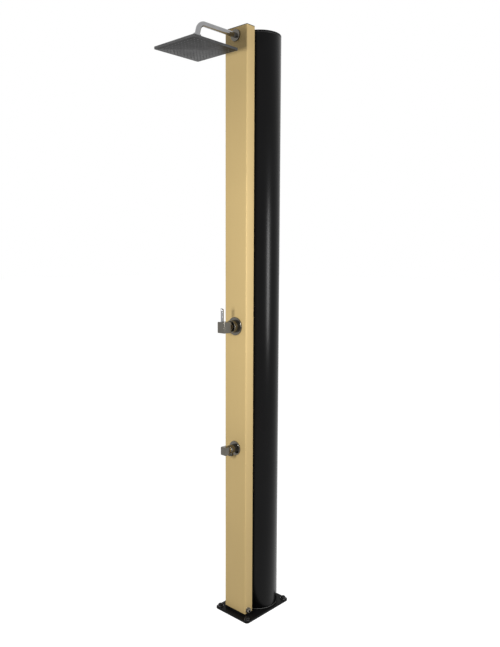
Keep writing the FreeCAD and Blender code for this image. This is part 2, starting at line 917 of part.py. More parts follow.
disc_port = s.disc_port_circle * cosine(quarter)
disc_port_spots = ((disc_port, -disc_port), (disc_port, disc_port), (-disc_port, disc_port))
cartridge_low = -s.cartridge_seat_depth
cartridge_high = cartridge_low + s.cartridge_length
disc_low = cartridge_low + s.cartridge_floor
disc_middle = disc_low + s.disc_thickness
disc_high = disc_middle + s.disc_thickness
neck_low = cartridge_high - s.cartridge_lip
handle_back = s.handle_front - s.handle_depth
handle_bottom = s.mixer_height - s.handle_height / 2
handle_top = s.mixer_height + s.handle_height / 2
half_spindle = s.spindle_side / 2


def make_mixer_body():
    half_width = s.mixer_body_width / 2
    half_height = s.mixer_body_height / 2
    low = s.mixer_height - half_height
    high = s.mixer_height + half_height
    block = box((-half_width, half_width), (inner_front, inner_front + s.block_depth), (low, high))
    boss = rod("y", s.boss_radius, ahead(s.boss_length), inner_front + 1, zero, s.mixer_height)
    socket_low, socket_high = block_ends(s.mixer_height, half_height)
    seat = ahead(cartridge_low)
    bore = s.cartridge_radius + s.thread_clearance
    tools = [rod("y", bore, ahead(s.boss_length) - 1, seat, zero, s.mixer_height)]
    radius = s.disc_port_radius
    for x, z in disc_port_spots:
        pipe_x = s.pipe_offset if x.value > 0 else -s.pipe_offset
        across = (x, pipe_x) if x.value > 0 else (pipe_x, x)
        port_z = s.mixer_height + z
        socket = (low - 1, socket_low) if z.value < 0 else (socket_high, high + 1)
        reach = s.waterway_radius
        riser = (socket_low - 1, port_z + reach) if z.value < 0 else (port_z - reach, socket_high + 1)
        tools.append(rod("z", pipe_hole, *socket, pipe_x, pipe_y))
        tools.append(rod("z", reach, *riser, pipe_x, pipe_y))
        tools.append(rod("x", radius, *across, pipe_y, port_z))
        tools.append(rod("y", s.disc_feed_radius, seat - 1, pipe_y + s.disc_feed_radius, x, port_z))
    keep("mixer_body", cut(fused(block, boss), *tools))


def front_turned(corners, height):
    """A body turned about a line straight out of the profile's face, its stations counted from the face."""
    return turned(corners, 0, panel_face, height, front_turn)


def disc_ports(low, high):
    """The three water ports through the cartridge's floor or a disc."""
    return [
        rod("y", s.disc_port_radius, ahead(high) - 1, ahead(low) + 1, x, s.mixer_height + z)
        for x, z in disc_port_spots
    ]


def disc_with_ports(low, high):
    disc = front_turned(ring(0, s.disc_radius, low, high), s.mixer_height)
    return cut(disc, *disc_ports(low, high))


def make_cartridge():
    cavity = s.rotor_radius + s.running_clearance
    neck_hole = s.rotor_neck_radius + s.running_clearance
    corners = [
        (0, cartridge_low),
        (s.cartridge_radius, cartridge_low),
        (s.cartridge_radius, cartridge_high),
        (neck_hole, cartridge_high),
        (neck_hole, neck_low),
        (cavity, neck_low),
        (cavity, disc_low),
        (0, disc_low),
    ]
    shell = front_turned(corners, s.mixer_height)
    keep("cartridge", cut(shell, *disc_ports(cartridge_low, disc_low)))
    keep("fixed_disc", disc_with_ports(disc_low, disc_middle))
    keep("moving_disc", disc_with_ports(disc_middle, disc_high))

    rotor_top = neck_low - s.loose_clearance
    neck_top = neck_low + s.rotor_neck_length
    rotor_corners = [
        (0, disc_high),
        (s.rotor_radius, disc_high),
        (s.rotor_radius, rotor_top),
        (s.rotor_neck_radius, rotor_top),
        (s.rotor_neck_radius, neck_top),
        (0, neck_top),
    ]
    slot_half = half_spindle + s.loose_clearance
    slot = box(
        (-slot_half, slot_half),
        (ahead(neck_top) - 1, ahead(s.pivot_depth - s.spindle_tail - s.rotor_slot_floor)),
        (s.mixer_height - s.rotor_slot_height / 2, s.mixer_height + s.rotor_slot_height / 2),
    )
    pin_y = ahead(s.pivot_depth)
    half_pin = s.rotor_pin_length / 2
    pin_hole = rod("x", s.rotor_pin_radius, -half_pin, half_pin, pin_y, s.mixer_height)
    keep("cartridge_rotor", cut(front_turned(rotor_corners, s.mixer_height), slot, pin_hole))
    pin = ring(0, s.rotor_pin_radius, -half_pin, half_pin)
    keep("rotor_pin", turned(pin, 0, pin_y, s.mixer_height, turns["x"]))
    nut = ring(s.cartridge_nut_opening, s.cartridge_radius, cartridge_high, s.boss_length)
    keep("cartridge_nut", front_turned(nut, s.mixer_height))


def make_mixer_trim():
    front = s.mixer_flange_thickness
    flange = plate_ring(
        s.boss_radius + s.pass_clearance,
        s.mixer_flange_radius,
        front,
        s.mixer_flange_rounding,
    )
    keep("mixer_flange", front_turned(flange, s.mixer_height))
    sleeve = s.boss_radius + s.thread_clearance
    inner_front_wall = s.collar_length - s.collar_front_wall
    soft = s.collar_chamfer
    corners = [
        (sleeve, front),
        (s.collar_radius, front),
        (s.collar_radius, s.collar_length - soft),
        (s.collar_radius - soft, s.collar_length),
        (s.collar_opening_radius, s.collar_length),
        (s.collar_opening_radius, inner_front_wall),
        (sleeve, inner_front_wall),
    ]
    keep("mixer_collar", front_turned(corners, s.mixer_height))


def make_mixer_lever_set():
    pin_y = ahead(s.pivot_depth)
    spindle_end = handle_back + s.spindle_in_handle
    bar = box(
        (-half_spindle, half_spindle),
        (ahead(spindle_end), ahead(s.pivot_depth - s.spindle_tail)),
        (s.mixer_height - half_spindle, s.mixer_height + half_spindle),
    )
    pin_run = s.rotor_pin_radius + s.running_clearance
    pin_hole = rod("x", pin_run, -s.spindle_side, s.spindle_side, pin_y, s.mixer_height)
    keep("mixer_spindle", cut(bar, pin_hole))

    half_width = s.handle_width / 2
    cube = box(
        (-half_width, half_width),
        (ahead(s.handle_front), ahead(handle_back)),
        (handle_bottom, handle_top),
    )
    cube = block_edges_rounded(cube, s.handle_rounding)
    neck_front = ahead(handle_back + s.handle_rounding)
    neck_back = ahead(handle_back - s.handle_neck_length)
    neck = rod("y", s.handle_neck_radius, neck_front, neck_back, zero, s.mixer_height)
    socket_half = half_spindle + s.thread_clearance
    socket = box(
        (-socket_half, socket_half),
        (ahead(spindle_end + s.pass_clearance), neck_back + 1),
        (s.mixer_height - socket_half, s.mixer_height + socket_half),
    )
    lever_half = s.lever_width / 2
    lever_front = s.lever_centre + s.lever_depth / 2
    lever_back = s.lever_centre - s.lever_depth / 2
    lever_foot = handle_top - s.lever_socket
    gap = s.thread_clearance
    lever_hole = box(
        (-lever_half - gap, lever_half + gap),
        (ahead(lever_front) - gap, ahead(lever_back) + gap),
        (lever_foot, handle_top + 1),
    )
    grub_y = ahead(handle_back + s.spindle_in_handle / 2)
    grub_top = s.mixer_height - half_spindle
    grub_hole = rod("z", s.grub_radius + gap, handle_bottom - 1, grub_top, zero, grub_y)
    keep("mixer_handle", cut(fused(cube, neck), socket, lever_hole, grub_hole))

    lever_top = handle_top + s.lever_rise
    lever = box((-lever_half, lever_half), (ahead(lever_front), ahead(lever_back)), (lever_foot, lever_top))
    doc.recompute()
    back_top = [
        number
        for number in edges_at(lever.Shape, "z", lever_top)
        if abs(lever.Shape.Edges[number - 1].CenterOfMass.y - ahead(lever_back).value) < 1e-4
    ]
    keep("mixer_lever", chamfered(lever, s.lever_bevel, back_top))
    grub = ring(0, s.grub_radius, handle_bottom + s.grub_recess, grub_top)
    keep("handle_grub_screw", turned(grub, 0, grub_y))


# ---------------------------------------------------------------- foot tap


def make_foot_tap():
    height = s.foot_tap_height
    front = s.foot_flange_thickness
    flange = plate_ring(
        s.port_radius + s.pass_clearance,
        s.foot_flange_radius,
        front,
        s.mixer_flange_rounding,
    )
    keep("foot_flange", front_turned(flange, height))

    tail = -s.port_depth
    body_corners = [
        (0, tail),
        (s.port_radius, tail),
        (s.port_radius, front),
        (s.tap_radius, front),
        (s.tap_radius, s.tap_length),
        (0, s.tap_length),
    ]
    body = front_turned(body_corners, height)
    outlet_y = ahead(s.outlet_station)
    outlet_end = height - s.outlet_drop
    thread_top = outlet_end + s.outlet_thread_length
    neck = rod("z", s.outlet_neck_radius, outlet_end, height, zero, outlet_y)
    thread = rod("z", s.outlet_thread_radius, outlet_end, thread_top, zero, outlet_y)
    chamber_floor = ahead(s.tap_length - s.tap_chamber_depth)
    tools = [
        rod("y", s.tap_chamber_radius, ahead(s.tap_length) - 1, chamber_floor, zero, height),
        rod("y", s.waterway_radius, chamber_floor - 1, ahead(tail) + 1, zero, height),
        rod("z", s.outlet_bore_radius, outlet_end - 1, height, zero, outlet_y),
    ]
    keep("tap_body", cut(fused(body, neck, thread), *tools))

    head_low = s.outlet_station + s.outlet_bore_radius + 1
    head_flange = s.tap_length + s.headwork_flange_thickness
    spindle_hole = s.tap_spindle_radius + s.running_clearance
    chamber = s.tap_chamber_radius - s.thread_clearance
    corners = [
        (spindle_hole, head_low),
        (chamber, head_low),
        (chamber, s.tap_length),
        (s.headwork_flange_radius, s.tap_length),
        (s.headwork_flange_radius, head_flange),
        (spindle_hole, head_flange),
    ]
    keep("tap_headwork", front_turned(corners, height))

    knob_back = s.knob_front - s.knob_depth
    spindle_end = knob_back + s.knob_socket_depth
    spindle_low = knob_back - s.tap_spindle_tail
    keep("tap_spindle", front_turned(ring(0, s.tap_spindle_radius, spindle_low, spindle_end), height))

    half_width = s.knob_width / 2
    bottom = height - s.knob_height / 2
    knob = box(
        (-half_width, half_width),
        (ahead(s.knob_front), ahead(knob_back)),
        (bottom, bottom + s.knob_height),
    )
    knob = block_edges_rounded(knob, s.knob_rounding)
    gap = s.thread_clearance
    socket_front = ahead(spindle_end + s.pass_clearance)
    socket = rod("y", s.tap_spindle_radius + gap, socket_front, ahead(knob_back) + 1, zero, height)
    grub_y = ahead(knob_back + s.knob_socket_depth / 2)
    grub_top = height - s.tap_spindle_radius
    grub_hole = rod("z", s.knob_grub_radius + gap, bottom - 1, grub_top, zero, grub_y)
    keep("tap_knob", cut(knob, socket, grub_hole))
    grub = ring(0, s.knob_grub_radius, bottom + s.grub_recess, grub_top)
    keep("knob_grub_screw", turned(grub, 0, grub_y))


# ---------------------------------------------------------------- shower arm and ball joint

bend_start_y = ahead(s.arm_reach)
bend_angle = 90 - s.arm_lean
drop_y = -sine(s.arm_lean)
drop_z = -cosine(s.arm_lean)
bend_end_y = bend_start_y - s.arm_bend_radius * sine(bend_angle)
bend_end_z = s.arm_height - s.arm_bend_radius * (1 - cosine(bend_angle))
ball_distance = s.arm_drop + s.arm_end_above_ball
ball_y = bend_end_y + ball_distance * drop_y
ball_z = bend_end_z + ball_distance * drop_z
ball_centre = (zero, ball_y, ball_z)
drop_turn = FreeCAD.Rotation(FreeCAD.Vector(1, 0, 0), 180 - s.arm_lean.value)
nut_turn = FreeCAD.Rotation(FreeCAD.Vector(1, 0, 0), -s.arm_lean.value)
bend_turn = FreeCAD.Rotation(
    FreeCAD.Vector(0, 0, 1), FreeCAD.Vector(0, -1, 0), FreeCAD.Vector(1, 0, 0), "XYZ"
)


def down_the_drop(distance):
    """A point on the arm's leaning end, a distance below the bend."""
    return zero, bend_end_y + distance * drop_y, bend_end_z + distance * drop_z


def drop_rod(radius, start, end):
    bar = doc.addObject("Part::Cylinder", "bar")
    bind(bar, Radius=radius, Height=end - start)
    return put(bar, *down_the_drop(start), rotation=drop_turn)


def arm_bend(radius):
    bend = doc.addObject("Part::Torus", "bend")
    bind(bend, Radius1=s.arm_bend_radius, Radius2=radius, Angle3=bend_angle)
    return put(bend, zero, bend_start_y, s.arm_height - s.arm_bend_radius, bend_turn)


def make_arm():
    shoulder = s.arm_nose_length + s.pass_clearance
    thread_low = -s.port_depth
    collar_start = s.arm_drop - s.arm_end_length
    tube = fused(
        rod("y", s.port_radius, ahead(shoulder), ahead(thread_low), zero, s.arm_height),
        rod("y", s.arm_radius, bend_start_y, ahead(shoulder), zero, s.arm_height),
        arm_bend(s.arm_radius),
        drop_rod(s.arm_radius, zero, collar_start),
        drop_rod(s.arm_end_radius, collar_start, s.arm_drop),
    )
    hollow = fused(
        rod("y", s.arm_thread_bore_radius, ahead(shoulder), ahead(thread_low) + 1, zero, s.arm_height),
        rod("y", s.arm_bore_radius, bend_start_y, ahead(shoulder), zero, s.arm_height),
        arm_bend(s.arm_bore_radius),
        drop_rod(s.arm_bore_radius, zero, s.arm_drop + 1),
    )
    keep("shower_arm", cut(tube, hollow))

    cavity = s.arm_flange_radius - s.arm_flange_wall
    inner_wall = s.arm_flange_depth - s.arm_flange_wall
    passage = s.arm_radius + s.loose_clearance
    soft = s.arm_flange_rounding
    corners = [
        (cavity, 0),
        (s.arm_flange_radius, 0),
        (s.arm_flange_radius, s.arm_flange_depth - soft),
        (s.arm_flange_radius - soft, s.arm_flange_depth),
        (passage, s.arm_flange_depth),
        (passage, inner_wall),
        (cavity, inner_wall),
    ]
    keep("arm_flange", front_turned(corners, s.arm_height))


def placed_on_nut(piece):
    """Puts a piece made round the origin on the ball's centre, in line with the arm's leaning end."""
    return put(piece, *ball_centre, rotation=nut_turn)


def make_ball_joint():
    seat = s.shell_radius + s.running_clearance
    lip = -s.cup_bottom - s.pass_clearance
    thread = s.arm_end_radius + s.thread_clearance
    nut = rod("z", s.ball_nut_radius, -s.ball_nut_below, s.ball_nut_above, zero, zero)
    nut = cut(
        nut,
        rod("z", thread, s.arm_end_above_ball, s.ball_nut_above + 1, zero, zero),
        rod("z", seat, zero, s.arm_end_above_ball, zero, zero),
        ball(seat, (zero, zero, zero)),
        rod("z", s.ball_nut_mouth_radius, -s.ball_nut_below - 1, lip, zero, zero),
    )
    keep("ball_nut", placed_on_nut(nut))

    inner = s.ball_radius + s.running_clearance
    shell = cut(ball(s.shell_radius, (zero, zero, zero)), ball(inner, (zero, zero, zero)))
    slice_radius = s.shell_radius + 1
    cup = shared(shell, rod("z", slice_radius, -s.cup_bottom, -s.cup_top, zero, zero))
    keep("ball_cup", put(cup, *ball_centre))
    shell = cut(ball(s.shell_radius, (zero, zero, zero)), ball(inner, (zero, zero, zero)))
    seal = shared(shell, rod("z", slice_radius, s.seal_bottom, s.seal_top, zero, zero))
    keep("ball_seal", put(seal, *ball_centre))

    roof = -s.head_drop - s.head_wall
    stud = fused(
        ball(s.ball_radius, (zero, zero, zero)),
        rod("z", s.ball_neck_radius, -s.stud_boss_gap, zero, zero, zero),
        rod("z", s.stud_base_radius, roof, -s.stud_boss_gap, zero, zero),
    )
    stud = cut(stud, rod("z", s.ball_bore_radius, roof - 1, s.ball_radius + 1, zero, zero))
    keep("ball_stud", put(stud, *ball_centre))


# ---------------------------------------------------------------- shower head

head_top = ball_z - s.head_drop
head_bottom = head_top - s.head_thickness
mat_low = head_bottom + s.head_face_thickness
field = (s.nozzle_rows - 1) * s.nozzle_pitch


def square(half, low, high):
    return box((-half, half), (ball_y - half, ball_y + half), (low, high))


def nozzle_grid(body, feature):
    """Repeats a body's first hole or nozzle over the nozzle field, along X and Y."""
    grid = body.newObject("PartDesign::LinearPattern", "grid")
    grid.Originals = [feature]
    grid.Direction = (origin_plane(body, "X_Axis"), [""])
    grid.Direction2 = (origin_plane(body, "Y_Axis"), [""])
    grid.Mode = "Spacing"
    grid.Mode2 = "Spacing"
    bind(grid, Offset=s.nozzle_pitch, Offset2=s.nozzle_pitch)
    bind(grid, Occurrences=s.nozzle_rows, Occurrences2=s.nozzle_rows)
    body.Tip = grid


def square_pad(half, corner, thickness):
    """A body with a square pad on its XY plane, its middle at the origin and its corners cut off."""
    short = half - corner
    corners = [
        (-short, -half),
        (short, -half),
        (half, -short),
        (half, short),
        (short, half),
        (-short, half),
        (-half, short),
        (-half, -short),
    ]
    body = doc.addObject("PartDesign::Body", "plate")
    pad = body.newObject("PartDesign::Pad", "pad")
    pad.Profile = outline_sketch(body, "XY_Plane", corners)
    bind(pad, Length=thickness)
    body.Tip = pad
    return body


def circle_sketch(body, radius, x, y):
    sketch = body.newObject("Sketcher::SketchObject", "circle")
    sketch.AttachmentSupport = [(origin_plane(body, "XY_Plane"), "")]
    sketch.MapMode = "FlatFace"
    centre = FreeCAD.Vector(x.value, y.value, 0)
    sketch.addGeometry(Part.Circle(centre, FreeCAD.Vector(0, 0, 1), radius.value), False)
    for kind, size in (("DistanceX", x), ("DistanceY", y)):
        index = sketch.addConstraint(Sketcher.Constraint(kind, -1, 1, 0, 3, size.value))
        sketch.setExpression(f"Constraints[{index}]", size.formula)
    index = sketch.addConstraint(Sketcher.Constraint("Radius", 0, radius.value))
    sketch.setExpression(f"Constraints[{index}]", radius.formula)
    return sketch


def make_head_shell():
    half = s.head_side / 2
    shell = upright_rounded(square(half, head_bottom, head_top), s.head_corner)
    doc.recompute()
    shell = rounded(shell, s.head_edge_rounding, edges_at(shell.Shape, "z", head_top))
    boss_top = ball_z - s.stud_boss_gap
    boss = rod("z", s.head_boss_radius, head_top - s.head_wall, boss_top, zero, ball_y)
    cavity = upright_rounded(
        square(half - s.head_wall, head_bottom - 1, head_top - s.head_wall),
        s.head_corner - s.head_wall,
    )
    bore_radius = s.stud_base_radius + s.thread_clearance
    bore = rod("z", bore_radius, head_top - s.head_wall - 1, boss_top + 1, zero, ball_y)
    keep("head_shell", cut(fused(shell, boss), cavity, bore))


def make_head_face():
    half = s.head_side / 2 - s.head_wall - s.pass_clearance
    body = square_pad(half, s.head_corner_cut, s.head_face_thickness)
    pocket = body.newObject("PartDesign::Pocket", "nozzle_hole")
    pocket.Profile = circle_sketch(body, s.nozzle_radius + s.loose_clearance, -field / 2, -field / 2)
    pocket.Type = "ThroughAll"
    pocket.Reversed = True
    doc.recompute()
    if pocket.Shape.Volume > pocket.BaseFeature.Shape.Volume - 1:
        raise RuntimeError("the first nozzle hole cuts nothing")
    nozzle_grid(body, pocket)
    keep("head_face", put(body, zero, ball_y, head_bottom))


def make_nozzle_mat():
    half = s.head_side / 2 - s.head_wall - s.mat_margin
    body = square_pad(half, s.head_corner_cut, s.mat_thickness)
    nozzle = body.newObject("PartDesign::Pad", "nozzle")
    nozzle.Profile = circle_sketch(body, s.nozzle_radius, -field / 2, -field / 2)
    nozzle.Reversed = True
    reach = s.head_face_thickness + s.nozzle_reach
    narrowing = arctangent((s.nozzle_radius - s.nozzle_tip_radius) / reach)
    bind(nozzle, Length=reach, TaperAngle=-1 * narrowing)
    doc.recompute()
    nozzle_grid(body, nozzle)
    keep("nozzle_mat", put(body, zero, ball_y, mat_low))


# ---------------------------------------------------------------- build, check and write

for make in (
    make_base_plate,
    make_anchor_covers,
    make_base_screws,
    make_foot_block,
    make_profile_screws,
    make_front_profile,
    make_profile_cap,
    make_tank,
    make_drain,
    make_saddles,
    make_pipework,
    make_mixer_body,
    make_cartridge,
    make_mixer_trim,
    make_mixer_lever_set,
    make_foot_tap,
    make_arm,
    make_ball_joint,
    make_head_shell,
    make_head_face,
    make_nozzle_mat,
):
    make()
doc.recompute()

for thing in doc.Objects:
    if "Invalid" in thing.State or "Error" in thing.State:
        raise RuntimeError(f"{thing.Label} failed: {thing.State}")
for piece in subparts:
    if piece.Shape.isNull() or not piece.Shape.isValid() or piece.Shape.Volume <= 0:
        raise RuntimeError(f"{piece.Label} has no valid shape")
    piece.Shape.exportStep(f"parts/{piece.Label}.step")
    bounds = piece.Shape.BoundBox
    print(f"{piece.Label}: {len(piece.Shape.Solids)} solids, {piece.Shape.Volume:.0f} mm3, {bounds}")
print(f"{len(subparts)} sub-parts written")
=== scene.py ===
import json
import math

import bmesh
import bpy
from mathutils import Matrix, Vector


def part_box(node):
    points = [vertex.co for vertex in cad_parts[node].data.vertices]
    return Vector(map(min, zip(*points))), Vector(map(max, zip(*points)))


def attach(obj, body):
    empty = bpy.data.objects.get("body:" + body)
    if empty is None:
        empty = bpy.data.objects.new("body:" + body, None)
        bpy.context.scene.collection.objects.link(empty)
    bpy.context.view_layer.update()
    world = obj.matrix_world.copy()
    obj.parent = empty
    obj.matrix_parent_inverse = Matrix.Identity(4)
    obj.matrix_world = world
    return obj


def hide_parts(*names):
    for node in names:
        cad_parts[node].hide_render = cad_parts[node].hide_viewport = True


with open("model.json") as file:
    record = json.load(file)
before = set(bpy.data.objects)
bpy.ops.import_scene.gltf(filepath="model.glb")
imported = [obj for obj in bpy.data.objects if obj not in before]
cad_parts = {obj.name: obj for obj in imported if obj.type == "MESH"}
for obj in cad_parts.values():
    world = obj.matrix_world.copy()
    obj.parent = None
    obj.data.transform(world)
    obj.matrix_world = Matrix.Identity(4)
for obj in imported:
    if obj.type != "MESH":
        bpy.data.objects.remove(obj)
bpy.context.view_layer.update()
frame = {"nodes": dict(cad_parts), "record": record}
print("frame loaded with", len(frame["nodes"]), "nodes")


# materials

def addNode(material, kind, inputs=None):
    node = material.node_tree.nodes.new(kind)
    for key, value in (inputs or {}).items():
        node.inputs[key].default_value = value
    return node


def link(material, source, output, target, socket):
    material.node_tree.links.new(source.outputs[output], target.inputs[socket])


def newMaterial(name, colour, metallic, roughness, gloss=0.5):
    material = bpy.data.materials.new(name)
    material.use_nodes = True
    shader = material.node_tree.nodes["Principled BSDF"]
    shader.inputs["Base Color"].default_value = (*colour, 1)
    shader.inputs["Metallic"].default_value = metallic
    shader.inputs["Roughness"].default_value = roughness
    shader.inputs["Specular IOR Level"].default_value = gloss
    return material, shader


def grain(material, scale, stretch=(1, 1, 1), detail=3, roughness=0.55):
    place = addNode(material, "ShaderNodeTexCoord")
    mapping = addNode(material, "ShaderNodeMapping", {"Scale": stretch})
    noise = addNode(material, "ShaderNodeTexNoise", {
        "Scale": scale,
        "Detail": detail,
        "Roughness": roughness,
    })
    link(material, place, "Object", mapping, "Vector")
    link(material, mapping, "Vector", noise, "Vector")
    return noise


# tint holds the darkest and the lightest share of the colour
def varyColour(material, shader, noise, colour, tint, span=(0.35, 0.65)):
    ramp = addNode(material, "ShaderNodeValToRGB")
    for element, position, share in zip(ramp.color_ramp.elements, span, tint):
        element.position = position
        element.color = (*(min(1, part * share) for part in colour), 1)
    link(material, noise, "Fac", ramp, "Fac")
    link(material, ramp, "Color", shader, "Base Color")


def varyRoughness(material, shader, noise, low, high, span=(0.3, 0.7)):
    spread = addNode(material, "ShaderNodeMapRange", {
        "From Min": span[0],
        "From Max": span[1],
        "To Min": low,
        "To Max": high,
    })
    link(material, noise, "Fac", spread, "Value")
    link(material, spread, "Result", shader, "Roughness")


def addBump(material, shader, noise, strength, depth):
    bump = addNode(material, "ShaderNodeBump", {"Strength": strength, "Distance": depth})
    link(material, noise, "Fac", bump, "Height")
    link(material, bump, "Normal", shader, "Normal")


goldLook = {
    "colour": (0.558, 0.409, 0.176),
    "tint": (0.97, 1.03),
    "metallic": 0.22,
    "roughness": (0.58, 0.68),
    "lines": 900,
    "stretch": (1, 1, 0.012),  # the drawn lines run up the profile
    "clouds": 2.2,
    "bump": (0.10, 0.00004),  # strength and depth, here and below
}


def goldProfileMaterial():
    look = goldLook
    material, shader = newMaterial(
        "satin gold anodising", look["colour"], look["metallic"], look["roughness"][0]
    )
    lines = grain(material, look["lines"], stretch=look["stretch"], detail=4)
    clouds = grain(material, look["clouds"], detail=2)
    varyColour(material, shader, clouds, look["colour"], look["tint"])
    varyRoughness(material, shader, lines, *look["roughness"])
    addBump(material, shader, lines, *look["bump"])
    return material


tubeLook = {
    "colour": (0.0025, 0.0025, 0.0027),
    "tint": (0.85, 1.25),
    "gloss": 0.10,
    "roughness": (0.245, 0.275),
    "pores": 700,
    "clouds": 5,
    "bump": (0.12, 0.00006),
}


def tankBlackMaterial():
    look = tubeLook
    material, shader = newMaterial("satin black tube", look["colour"], 0, look["roughness"][0], look["gloss"])
    clouds = grain(material, look["clouds"], detail=5)
    pores = grain(material, look["pores"], detail=2)
    varyColour(material, shader, clouds, look["colour"], look["tint"])
    varyRoughness(material, shader, clouds, *look["roughness"])
    addBump(material, shader, pores, *look["bump"])
    return material


powderLook = {
    "colour": (0.004, 0.004, 0.0042),
    "tint": (0.85, 1.4),
    "gloss": 0.08,
    "roughness": (0.44, 0.58),
    "peel": 420,
    "scuffs": 14,
    "bump": (0.35, 0.00012),
}


def powderBlackMaterial():
    look = powderLook
    material, shader = newMaterial(
        "black powder coat", look["colour"], 0, look["roughness"][0], look["gloss"]
    )
    peel = grain(material, look["peel"], detail=2, roughness=0.4)
    scuffs = grain(material, look["scuffs"], detail=6)
    varyColour(material, shader, scuffs, look["colour"], look["tint"])
    varyRoughness(material, shader, scuffs, *look["roughness"])
    addBump(material, shader, peel, *look["bump"])
    return material


mouldLook = {"tint": (0.9, 1.12), "spread": 0.05, "pores": 1200, "clouds": 30, "bump": (0.2, 0.00004)}


def mouldedPlastic(name, colour, roughness, gloss=0.4):
    look = mouldLook
    material, shader = newMaterial(name, colour, 0, roughness, gloss)
    pores = grain(material, look["pores"], detail=2)
    clouds = grain(material, look["clouds"], detail=3)
    varyColour(material, shader, clouds, colour, look["tint"])
    varyRoughness(material, shader, clouds, roughness - look["spread"], roughness + look["spread"])
    addBump(material, shader, pores, *look["bump"])
    return material


platedLook = {"tint": (0.94, 1.04), "smudge": 0.05, "smudges": 38, "ripple": 260, "bump": (0.05, 0.00003)}


def platedMetal(name, colour, roughness):
    look = platedLook
    material, shader = newMaterial(name, colour, 1, roughness)
    smudges = grain(material, look["smudges"], detail=5, roughness=0.6)
    ripple = grain(material, look["ripple"], detail=2)
    varyColour(material, shader, smudges, colour, look["tint"])
    varyRoughness(material, shader, smudges, roughness, roughness + look["smudge"])
    addBump(material, shader, ripple, *look["bump"])
    return material


machinedLook = {
    "tint": (0.85, 1.06),
    "spread": (-0.06, 0.08),
    "lines": 1500,
    "tarnish": 60,
    "bump": (0.15, 0.00004),
}


def machinedMetal(name, colour, roughness, stretch=(1, 1, 1)):
    look = machinedLook
    material, shader = newMaterial(name, colour, 1, roughness)
    lines = grain(material, look["lines"], stretch=stretch, detail=3)
    tarnish = grain(material, look["tarnish"], detail=4)
    varyColour(material, shader, tarnish, colour, look["tint"])
    varyRoughness(material, shader, lines, *(roughness + change for change in look["spread"]))
    addBump(material, shader, lines, *look["bump"])
    return material


rubberLook = {
    "tint": (0.85, 1.15),
    "gloss": 0.3,
    "roughness": (0.56, 0.68),
    "skin": 900,
    "bloom": 80,
    "bump": (0.25, 0.00005),
}


def softRubber(name, colour):
    look = rubberLook
    material, shader = newMaterial(name, colour, 0, look["roughness"][0], look["gloss"])
    skin = grain(material, look["skin"], detail=3)
    bloom = grain(material, look["bloom"], detail=3)
    varyColour(material, shader, bloom, colour, look["tint"])
    varyRoughness(material, shader, bloom, *look["roughness"])
    addBump(material, shader, skin, *look["bump"])
    return material


finishes = {
    "gold_profile": goldProfileMaterial(),
    "profile_cap": mouldedPlastic("dark grey end cap", (0.015, 0.015, 0.016), 0.45, gloss=0.3),
    "tank_black": tankBlackMaterial(),
    "plate_black": powderBlackMaterial(),
    "trim_black": mouldedPlastic("black moulding", (0.005, 0.005, 0.005), 0.38, gloss=0.15),
    "chrome_fitting": platedMetal("polished plating", (0.30, 0.30, 0.305), 0.10),
    # the same chrome as the polished plating, given a darker, warmer colour: painted reflection of dark
    # surroundings and the gold profile
    "dark_chrome": platedMetal("chrome with painted dark reflection", (0.138, 0.129, 0.112), 0.16),
    "head_grey": mouldedPlastic("satin grey head", (0.105, 0.105, 0.106), 0.50, gloss=0.02),
    "nozzle_rubber": softRubber("grey silicone", (0.10, 0.10, 0.103)),
    "brass_fitting": machinedMetal("turned brass", (0.60, 0.42, 0.17), 0.32),
    "steel_pipe": machinedMetal("drawn steel pipe", (0.50, 0.50, 0.51), 0.28, stretch=(1, 1, 0.02)),
    "steel_screw": machinedMetal("stainless screws", (0.45, 0.45, 0.46), 0.30),
    "gasket_rubber": softRubber("black rubber", (0.016, 0.016, 0.016)),
    "gasket_grey": softRubber("grey rubber", (0.15, 0.15, 0.148)),
    "seal_plastic": mouldedPlastic("white seal", (0.62, 0.62, 0.60), 0.42),
    "cartridge_plastic": mouldedPlastic("cream cartridge", (0.58, 0.57, 0.50), 0.45),
    "ceramic": mouldedPlastic("ground ceramic", (0.78, 0.78, 0.75), 0.25),
}
slotOf = {part["node"]: part["material_slot"] for part in frame["record"]["subparts"]}
bodyOf = {node: body for body, nodes in frame["record"]["behaviour"]["bodies"].items() for node in nodes}
for node, shape in frame["nodes"].items():
    shape.data.materials.clear()
    shape.data.materials.append(finishes[slotOf[node]])
print("materials made:", len(finishes))


# shaping helpers

forward = (0, -1, 0)  # out of the profile's face
backward = (0, 1, 0)
near = 1e-5  # as close as this is the same place
weld = 2e-6  # corners this close become one


def put(bm, place, axis=(0, 0, 1)):  # turns a piece's own Z to an axis and moves it to its place
    turn = Vector((0, 0, 1)).rotation_difference(Vector(axis)).to_matrix().to_4x4()
    bm.transform(Matrix.Translation(place) @ turn)
    return bm


def spun(outline, steps):  # (radius, height) corners, closed to a ring unless they start on the axis
    bm = bmesh.new()
    points = [bm.verts.new((radius, 0, height)) for radius, height in outline]
    following = points[1:] if outline[0][0] == 0 else points[1:] + points[:1]
    ring = [bm.edges.new(pair) for pair in zip(points, following)]
    bmesh.ops.spin(
        bm, geom=points + ring, cent=(0, 0, 0), axis=(0, 0, 1), angle=math.tau, steps=steps, use_merge=True
    )
    bmesh.ops.remove_doubles(bm, verts=bm.verts, dist=weld)
    bmesh.ops.recalc_face_normals(bm, faces=bm.faces)
    return bm


def ringOutline(inner, outer, low, high):
    return [(inner, low), (outer, low), (outer, high), (inner, high)]


def arc(centre, radius, start, end, count):  # an outline's arc, its angles in degrees from the radius axis
    turns = [math.radians(start + (end - start) * step / count) for step in range(count + 1)]
    return [(centre[0] + radius * math.cos(turn), centre[1] + radius * math.sin(turn)) for turn in turns]


